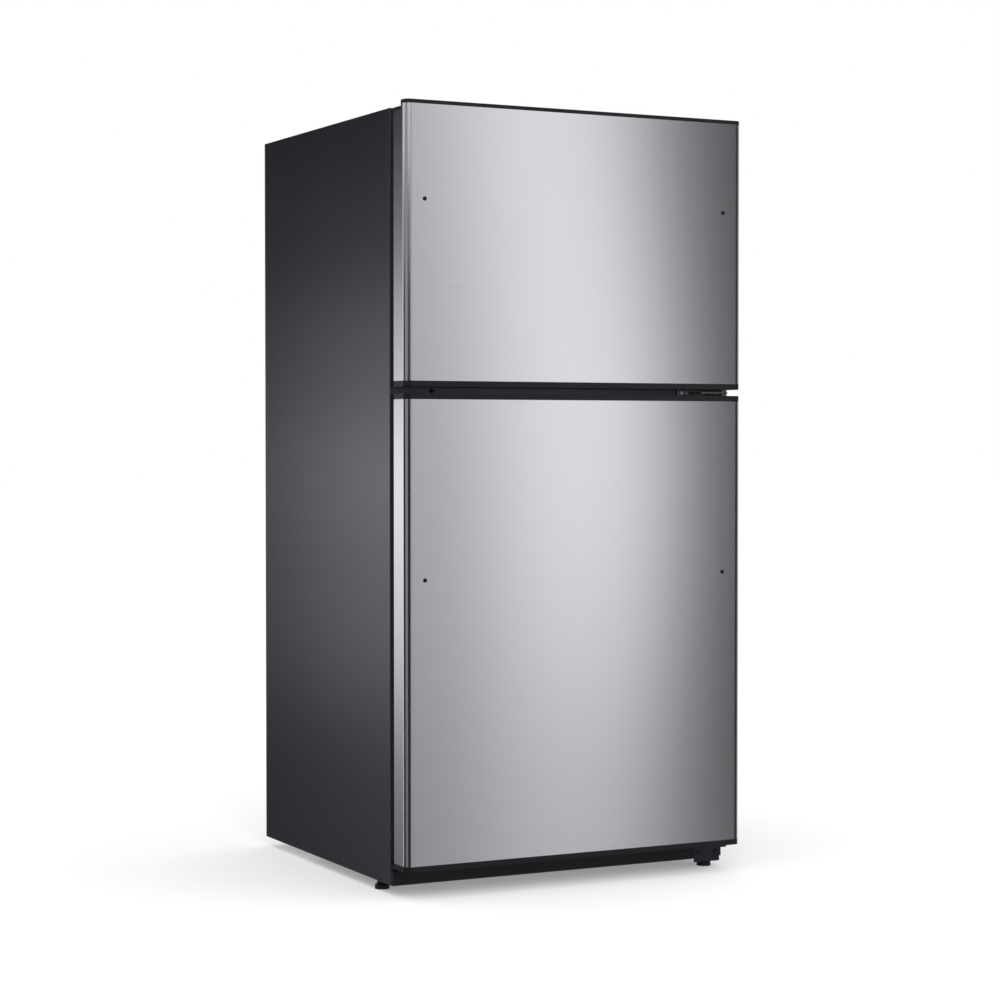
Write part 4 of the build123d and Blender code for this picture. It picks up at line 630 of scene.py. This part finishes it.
# %% Helpers that shape a piece
FACING = 0.99
SHARP_ANGLE = math.radians(40)
MERGE_GAP = 0.00001

def enter_edit():
    bpy.ops.object.mode_set(mode="EDIT")

def leave_edit():
    bpy.ops.object.mode_set(mode="OBJECT")

def pick_faces(piece, direction, where=None):
    """In edit mode, selects the faces that look in a direction, or those of them where a test of their
    middle holds."""
    enter_edit()
    bpy.ops.mesh.select_mode(type="FACE")
    bpy.ops.mesh.select_all(action="DESELECT")
    leave_edit()
    for face in piece.data.polygons:
        turned = sum(a * b for a, b in zip(face.normal, direction))
        face.select = turned > FACING and (where is None or where(face.center))
    enter_edit()

def pull(distance):
    """Extrudes what is selected along the depth of the object."""
    bpy.ops.mesh.extrude_region_move(TRANSFORM_OT_translate={"value": (0, distance, 0)})

def soften(piece, width, segments=3):
    """Rounds the sharp edges with a bevel modifier, applies it and merges points that fell together."""
    bpy.ops.object.modifier_add(type="BEVEL")
    bevel = piece.modifiers[-1]
    bevel.width = width
    bevel.segments = segments
    bevel.limit_method = "ANGLE"
    bevel.angle_limit = SHARP_ANGLE
    bpy.ops.object.modifier_apply(modifier=bevel.name)
    enter_edit()
    bpy.ops.mesh.select_all(action="SELECT")
    bpy.ops.mesh.remove_doubles(threshold=MERGE_GAP)
    leave_edit()

def repeat(piece, count, step):
    """Repeats a piece in a row with an array modifier and applies it."""
    bpy.ops.object.modifier_add(type="ARRAY")
    array = piece.modifiers[-1]
    array.count = count
    array.use_relative_offset = False
    array.use_constant_offset = True
    array.constant_offset_displace = step
    bpy.ops.object.modifier_apply(modifier=array.name)

# %% Helpers that finish a piece
SMOOTH_ANGLE = math.radians(35)

def dress(piece, body, finish):
    """Gives a piece its finish, smooths it and lets it ride on a body."""
    select_only(piece)
    piece.data.materials.clear()
    piece.data.materials.append(finish)
    bpy.ops.object.shade_smooth_by_angle(angle=SMOOTH_ANGLE)
    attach(piece, body)

def print_size(piece):
    """Prints a piece's name and its size in millimetres."""
    print(piece.name, [round(size * 1000, 1) for size in piece.dimensions])

# %% [markdown]
# ## Door seals
#
# A fridge door closes on a soft frame with a magnet in its fat outer lip. Between the lip and the door
# the rubber is pleated, so it can stretch when the door is pulled. A plane is inset to a frame, and the
# frame is then raised in steps: inset to draw the rubber in, outset to let it out again.

# %% Door seals
SEAL_WIDTH = 0.016
SEAL_ROOT = 0.003
PLEAT = 0.002
PLEAT_COUNT = 3
LIP_FLARE = 0.0035
SEAL_ROUND = 0.0008

def add_frame(name, low, high, y, width):
    """A flat frame that looks to the back, left in edit mode with all of it selected."""
    deselect()
    middle = ((low[0] + high[0]) / 2, y, (low[2] + high[2]) / 2)
    bpy.ops.mesh.primitive_plane_add(size=1, location=middle, rotation=(-QUARTER, 0, 0))
    bpy.context.object.scale = (high[0] - low[0], high[2] - low[2], 1)
    piece = named(name)
    enter_edit()
    bpy.ops.mesh.select_mode(type="FACE")
    bpy.ops.mesh.select_all(action="SELECT")
    bpy.ops.mesh.inset(thickness=width)
    bpy.ops.mesh.delete(type="FACE")
    bpy.ops.mesh.select_all(action="SELECT")
    return piece

def door_seal(node, body):
    """A pleated seal in the place of a plain one."""
    low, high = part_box(node)
    seal = add_frame(node + "_pleated", low, high, low[1], SEAL_WIDTH)
    pull(SEAL_ROOT)
    bpy.ops.mesh.inset(thickness=LIP_FLARE, depth=PLEAT, use_boundary=True)
    for _ in range(PLEAT_COUNT):
        bpy.ops.mesh.inset(thickness=PLEAT, depth=PLEAT / 2, use_boundary=True, use_outset=True)
        bpy.ops.mesh.inset(thickness=PLEAT, depth=PLEAT, use_boundary=True)
    bpy.ops.mesh.inset(thickness=LIP_FLARE, depth=PLEAT / 2, use_boundary=True, use_outset=True)
    lip_base = low[1] + SEAL_ROOT + PLEAT * (1.5 + 1.5 * PLEAT_COUNT)
    pull(high[1] - lip_base)
    leave_edit()
    soften(seal, SEAL_ROUND, segments=2)
    dress(seal, body, rubber)
    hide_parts(node)
    print_size(seal)

door_seal("freezer_door_gasket", "freezer_door")
door_seal("fridge_door_gasket", "fridge_door")

# %% [markdown]
# ## Plug in the divider strip
#
# The doors can be hung on either side, so the strip between them has hinge holes at both ends. The
# holes at the left are closed by a small domed plug: a short cylinder whose face is inset and pulled out.

# %% Divider plug
PLUG_X = -0.3173
PLUG_Z = 1.0815
PLUG_RADIUS = 0.0048
PLUG_RISE = 0.0022
DOME_INSET = 0.35 * PLUG_RADIUS
DOME_RISE = 0.4 * PLUG_RISE

strip_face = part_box("mullion_plate")[0][1]
plug = add_rod("divider_plug", (PLUG_X, strip_face - PLUG_RISE / 2, PLUG_Z), PLUG_RADIUS, PLUG_RISE, "Y")
pick_faces(plug, (0, -1, 0))
bpy.ops.mesh.inset(thickness=DOME_INSET, depth=DOME_RISE)
leave_edit()
dress(plug, "cabinet", black)
print_size(plug)

# %% [markdown]
# ## Bin rims
#
# Clear door bins are stiffened by a thick white rim round the top. The record gives the free space inside
# each bin, a little clear of its walls. A block round that space is inset on top and below, and the two
# inner faces are bridged, which opens it into a ring.

# %% Bin rims
RIM_HEIGHT = 0.011
RIM_WIDTH = 0.005
RIM_OUT = 0.002
RIM_ROUND = 0.0015
BIN_WALL = 0.0025
SPACE_MARGIN = 0.003

def bin_rim(name, body, low, high):
    """A rim on a bin, from the box of the free space inside it."""
    reach = BIN_WALL + SPACE_MARGIN
    top = high[2] + SPACE_MARGIN
    start = (low[0] - reach, low[1] - reach, top - RIM_HEIGHT)
    end = (high[0] + reach, high[1] + reach + RIM_OUT, top + RIM_OUT)
    rim = add_block(name + "_rim", start, end)
    pick_faces(rim, (0, 0, 1))
    bpy.ops.mesh.inset(thickness=RIM_WIDTH)
    leave_edit()
    upper = [face.index for face in rim.data.polygons if face.select]
    pick_faces(rim, (0, 0, -1))
    bpy.ops.mesh.inset(thickness=RIM_WIDTH)
    leave_edit()
    for index in upper:
        rim.data.polygons[index].select = True
    enter_edit()
    bpy.ops.mesh.bridge_edge_loops()
    leave_edit()
    soften(rim, RIM_ROUND, segments=2)
    dress(rim, body, white)
    print_size(rim)

for opening in frame["record"]["physics"]["openings"]:
    name = opening["name"]
    if "_bin" in name:
        body = "freezer_door" if name.startswith("freezer") else "fridge_door"
        bin_rim(name, body, *opening["box_m"])

# %% [markdown]
# ## Drawer fronts
#
# The vegetable drawers are clear, with a white front clipped over them: a plate with a sunk field, and a
# ledge along its top to pull by. A block is cut across under the ledge with bisect. The strip above the
# cut is extruded forward, and the face below it is inset for the frame and pushed in for the field.

# %% Drawer fronts
FRONT_THICK = 0.0035
FRONT_FRAME = 0.014
FRONT_SINK = 0.0018
FRONT_OVER = 0.0006
FRONT_LIFT = 0.002
FRONT_ROUND = 0.0012
PULL_DEPTH = 0.014
PULL_HEIGHT = 0.0125

def drawer_front(node):
    """A white front over the front wall of a drawer."""
    low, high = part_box(node)
    wall = low[1] + PULL_DEPTH
    start = (low[0] - FRONT_OVER, wall - FRONT_THICK, low[2] + FRONT_LIFT)
    end = (high[0] + FRONT_OVER, wall + FRONT_OVER, high[2] + FRONT_OVER)
    front = add_block(node + "_front", start, end)
    cut = high[2] - PULL_HEIGHT
    enter_edit()
    bpy.ops.mesh.select_all(action="SELECT")
    bpy.ops.mesh.bisect(plane_co=(0, 0, cut), plane_no=(0, 0, 1))
    leave_edit()
    pick_faces(front, (0, -1, 0), where=lambda middle: middle.z > cut)
    pull(FRONT_THICK - PULL_DEPTH - FRONT_OVER)
    leave_edit()
    pick_faces(front, (0, -1, 0), where=lambda middle: middle.z < cut)
    bpy.ops.mesh.inset(thickness=FRONT_FRAME)
    bpy.ops.mesh.inset(thickness=FRONT_SINK, depth=-FRONT_SINK)
    leave_edit()
    soften(front, FRONT_ROUND)
    dress(front, node, white)
    print_size(front)

drawer_front("crisper_left")
drawer_front("crisper_right")

# %% [markdown]
# ## Dial marks
#
# Each dial has a pointer on its grip, and a ring of ticks on the console. One tick is a thin bar above the
# dial's middle, turned to the start of the scale. Each next tick is a copy of the last one, turned by one
# step about the dial's axis.

# %% Dial marks
TICK_WIDTH = 0.0008
TICK_RISE = 0.0003
TICK_LENGTH = 0.003
TICK_RADIUS = 0.0225
TICK_COUNT = 7
TICK_SWEEP = math.radians(270)
POINTER_WIDTH = 0.0016
POINTER_START = 0.005
POINTER_END = 0.0145

ink = plain_finish(
    "dial_ink", dark=(0.05, 0.055, 0.07), light=(0.07, 0.075, 0.09), rough=(0.4, 0.5), scale=300, bump=0.05
)

def add_bar(name, x, face, z, width, start, end):
    """A flat bar above a dial's middle, half sunk in the face that it is printed on."""
    low = (x - width / 2, face - TICK_RISE, z + start)
    high = (x + width / 2, face + TICK_RISE, z + end)
    return add_block(name, low, high)

def turn_bar(angle, middle):
    """Turns the bar that was added last about a dial's axis."""
    enter_edit()
    bpy.ops.mesh.select_all(action="SELECT")
    bpy.ops.transform.rotate(value=angle, orient_axis="Y", center_override=middle)
    leave_edit()

def dial_marks(node):
    """The pointer of a dial and its ticks on the console."""
    low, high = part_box(node)
    x = (low[0] + high[0]) / 2
    z = (low[2] + high[2]) / 2
    pointer = add_bar(node + "_pointer", x, low[1], z, POINTER_WIDTH, POINTER_START, POINTER_END)
    dress(pointer, node, ink)
    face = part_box("control_housing")[0][1]
    tick = add_bar(node + "_tick_1", x, face, z, TICK_WIDTH, TICK_RADIUS, TICK_RADIUS + TICK_LENGTH)
    turn_bar(-TICK_SWEEP / 2, (x, face, z))
    ticks = [tick]
    for number in range(2, TICK_COUNT + 1):
        ticks.append(add_copy(ticks[-1], node + "_tick_%d" % number))
        turn_bar(TICK_SWEEP / (TICK_COUNT - 1), (x, face, z))
    for tick in ticks:
        dress(tick, "cabinet", ink)
    print(node, "ticks:", len(ticks))

dial_marks("fridge_knob")
dial_marks("freezer_knob")

# %% [markdown]
# ## Machine compartment
#
# Behind the slotted cover stand the compressor and the condenser. The condenser is a wire-on-tube coil:
# its tubes are in the frame, and thin upright wires are welded across them. One wire is made and repeated.

# %% Condenser wires
WIRE_RADIUS = 0.0009
WIRE_SIDES = 8
WIRE_PITCH = 0.009
WIRE_EDGE = 0.015
WIRE_FOOT = 0.012
TUBE_RADIUS = 0.003
LAYER_PITCH = 0.026
LAYERS = 3

coil_low, coil_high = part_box("condenser")
wire_count = int((coil_high[0] - coil_low[0] - 2 * WIRE_EDGE) / WIRE_PITCH)
first_layer = (coil_low[1] + coil_high[1]) / 2 - LAYER_PITCH * (LAYERS - 1) / 2
wire_low = coil_low[2] + WIRE_FOOT
wire_middle = (
    coil_low[0] + WIRE_EDGE, first_layer - TUBE_RADIUS - WIRE_RADIUS, (wire_low + coil_high[2]) / 2
)
wires = add_rod("condenser_wires", wire_middle, WIRE_RADIUS, coil_high[2] - wire_low, "Z", WIRE_SIDES)
repeat(wires, wire_count, (WIRE_PITCH, 0, 0))
repeat(wires, LAYERS, (0, LAYER_PITCH, 0))
dress(wires, "cabinet", enamel)
print("condenser wires:", wire_count * LAYERS)

# %% [markdown]
# ## Compressor fittings
#
# A compressor is a welded steel pot. On its side sits a plastic cover over the electric terminals, and
# from its top stands a copper tube that was pinched flat after the refrigerant was filled in. The cover is
# a block with a drawn-in face. The tube is a rod whose top face is squeezed to a flat oval.

# %% Terminal cover
TERMINAL_WIDTH = 0.062
TERMINAL_DEPTH = 0.030
TERMINAL_HEIGHT = 0.066
TERMINAL_LIFT = 0.055
TERMINAL_SINK = 0.008
TERMINAL_INSET = 0.006
TERMINAL_RISE = 0.004
TERMINAL_ROUND = 0.003
POT_RADIUS = 0.088

pot_low, pot_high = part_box("compressor")
pot_x = (pot_low[0] + pot_high[0]) / 2
pot_y = (pot_low[1] + pot_high[1]) / 2
cover_back = pot_y - POT_RADIUS + TERMINAL_SINK
cover_foot = pot_low[2] + TERMINAL_LIFT
terminal = add_block(
    "compressor_terminal_cover", (pot_x - TERMINAL_WIDTH / 2, cover_back - TERMINAL_DEPTH, cover_foot),
    (pot_x + TERMINAL_WIDTH / 2, cover_back, cover_foot + TERMINAL_HEIGHT),
)
pick_faces(terminal, (0, -1, 0))
bpy.ops.mesh.inset(thickness=TERMINAL_INSET, depth=TERMINAL_RISE)
leave_edit()
soften(terminal, TERMINAL_ROUND)
dress(terminal, "cabinet", black)
print_size(terminal)

# %% Charging tube
STUB_RADIUS = 0.003
STUB_SIDES = 16
STUB_LENGTH = 0.06
STUB_SINK = 0.03
STUB_SHIFT = (0.05, 0.03)
STUB_PINCH = (1.4, 0.2, 1)

stub_middle = (pot_x + STUB_SHIFT[0], pot_y + STUB_SHIFT[1], pot_high[2] - STUB_SINK + STUB_LENGTH / 2)
stub = add_rod("compressor_charging_tube", stub_middle, STUB_RADIUS, STUB_LENGTH, "Z", STUB_SIDES)
pick_faces(stub, (0, 0, 1))
bpy.ops.transform.resize(value=STUB_PINCH, center_override=stub_middle)
leave_edit()
dress(stub, "cabinet", copper)
print_size(stub)

# %% [markdown]
# ## Rear screws
#
# Dark screws with a washer rim hold the back sheet and the slotted cover. The first starts as a flat
# cylinder, the washer. Its outer face is inset and raised for the head, then inset again and sunk for the
# driver. The others are copies of it, five in a column at each edge of the sheet and two at each edge of
# the cover.

# %% Places of the rear screws
SHEET = 0.001
BACK_EDGE = 0.014
COVER_EDGE = 0.022
BACK_ROWS = 5
COVER_ROWS = 2

back_low, back_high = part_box("rear_panel")
cover_low, cover_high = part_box("machine_cover")
back_face = back_low[1] + SHEET
screwed_sheets = (
    ("back", back_low, back_high, BACK_EDGE, BACK_ROWS),
    ("cover", cover_low, cover_high, COVER_EDGE, COVER_ROWS),
)

screw_places = {}
for side, sign in (("left", -1), ("right", 1)):
    for sheet, low, high, edge, rows in screwed_sheets:
        for row in range(rows):
            z = low[2] + edge + (high[2] - low[2] - 2 * edge) * row / (rows - 1)
            screw_places["%s_screw_%s_%d" % (sheet, side, row + 1)] = (sign * (high[0] - edge), z)
print("rear screws:", len(screw_places))

# %% Rear screws
WASHER_RADIUS = 0.0075
WASHER_SIDES = 24
WASHER_RISE = 0.001
HEAD_RADIUS = 0.0048
HEAD_RISE = 0.0022
SOCKET_RADIUS = 0.0022
SOCKET_DEPTH = 0.7 * HEAD_RISE
SCREW_ROUND = 0.0004

def first_screw(name, x, z):
    """A screw head on its washer, on the back sheet."""
    middle = (x, back_face + WASHER_RISE / 2, z)
    screw = add_rod(name, middle, WASHER_RADIUS, WASHER_RISE, "Y", WASHER_SIDES)
    pick_faces(screw, (0, 1, 0))
    bpy.ops.mesh.inset(thickness=WASHER_RADIUS - HEAD_RADIUS)
    pull(HEAD_RISE)
    bpy.ops.mesh.inset(thickness=HEAD_RADIUS - SOCKET_RADIUS)
    pull(-SOCKET_DEPTH)
    leave_edit()
    soften(screw, SCREW_ROUND, segments=2)
    return screw

rear_screws = []
for name, (x, z) in screw_places.items():
    if not rear_screws:
        first_x, first_z = x, z
        rear_screws.append(first_screw(name, x, z))
    else:
        rear_screws.append(add_copy(rear_screws[0], name, (x - first_x, 0, z - first_z)))
for screw in rear_screws:
    dress(screw, "cabinet", dark_zinc)
print_size(rear_screws[0])

# %% [markdown]
# ## Bead of the slotted cover
#
# The cover is thin sheet, and a pressed bead round its edge keeps it from drumming. A plane is inset to a
# frame, the middle is deleted, and the frame is raised and rounded.

# %% Bead of the slotted cover
BEAD_EDGE = 0.004
BEAD_WIDTH = 0.009
BEAD_RISE = 0.0025
BEAD_ROUND = 0.0016

bead_low = [c + BEAD_EDGE for c in cover_low]
bead_high = [c - BEAD_EDGE for c in cover_high]
bead = add_frame("machine_cover_bead", bead_low, bead_high, back_face, BEAD_WIDTH)
pull(BEAD_RISE)
leave_edit()
soften(bead, BEAD_ROUND, segments=4)
dress(bead, "cabinet", galvanised)
print_size(bead)

# %% [markdown]
# ## Foot hexagons
#
# Each front foot is turned with a spanner on a hexagon above its pad. A cylinder with six sides is already
# a hexagon, and a narrow bevel breaks its edges as a mould does. The right one is a copy of the left one.

# %% Foot hexagons
HEX_RADIUS = 0.0115
HEX_HEIGHT = 0.006
HEX_SIDES = 6
HEX_ROUND = 0.0006
FOOT_PAD = 0.010

def hexagon_place(foot):
    """The middle of the hexagon above a foot's pad."""
    low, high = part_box(foot)
    return ((low[0] + high[0]) / 2, (low[1] + high[1]) / 2, FOOT_PAD + HEX_HEIGHT / 2)

left_place = hexagon_place("front_foot_left")
right_place = hexagon_place("front_foot_right")
left_nut = add_rod("foot_hexagon_left", left_place, HEX_RADIUS, HEX_HEIGHT, "Z", HEX_SIDES)
soften(left_nut, HEX_ROUND, segments=2)
right_nut = add_copy(left_nut, "foot_hexagon_right", [b - a for a, b in zip(left_place, right_place)])
dress(left_nut, "front_foot_left", black)
dress(right_nut, "front_foot_right", black)
print_size(left_nut)

# %% [markdown]
# ## Finish
#
# The Standard view transform shows colours as they are written.

# %% Finish
bpy.context.scene.view_settings.view_transform = "Standard"
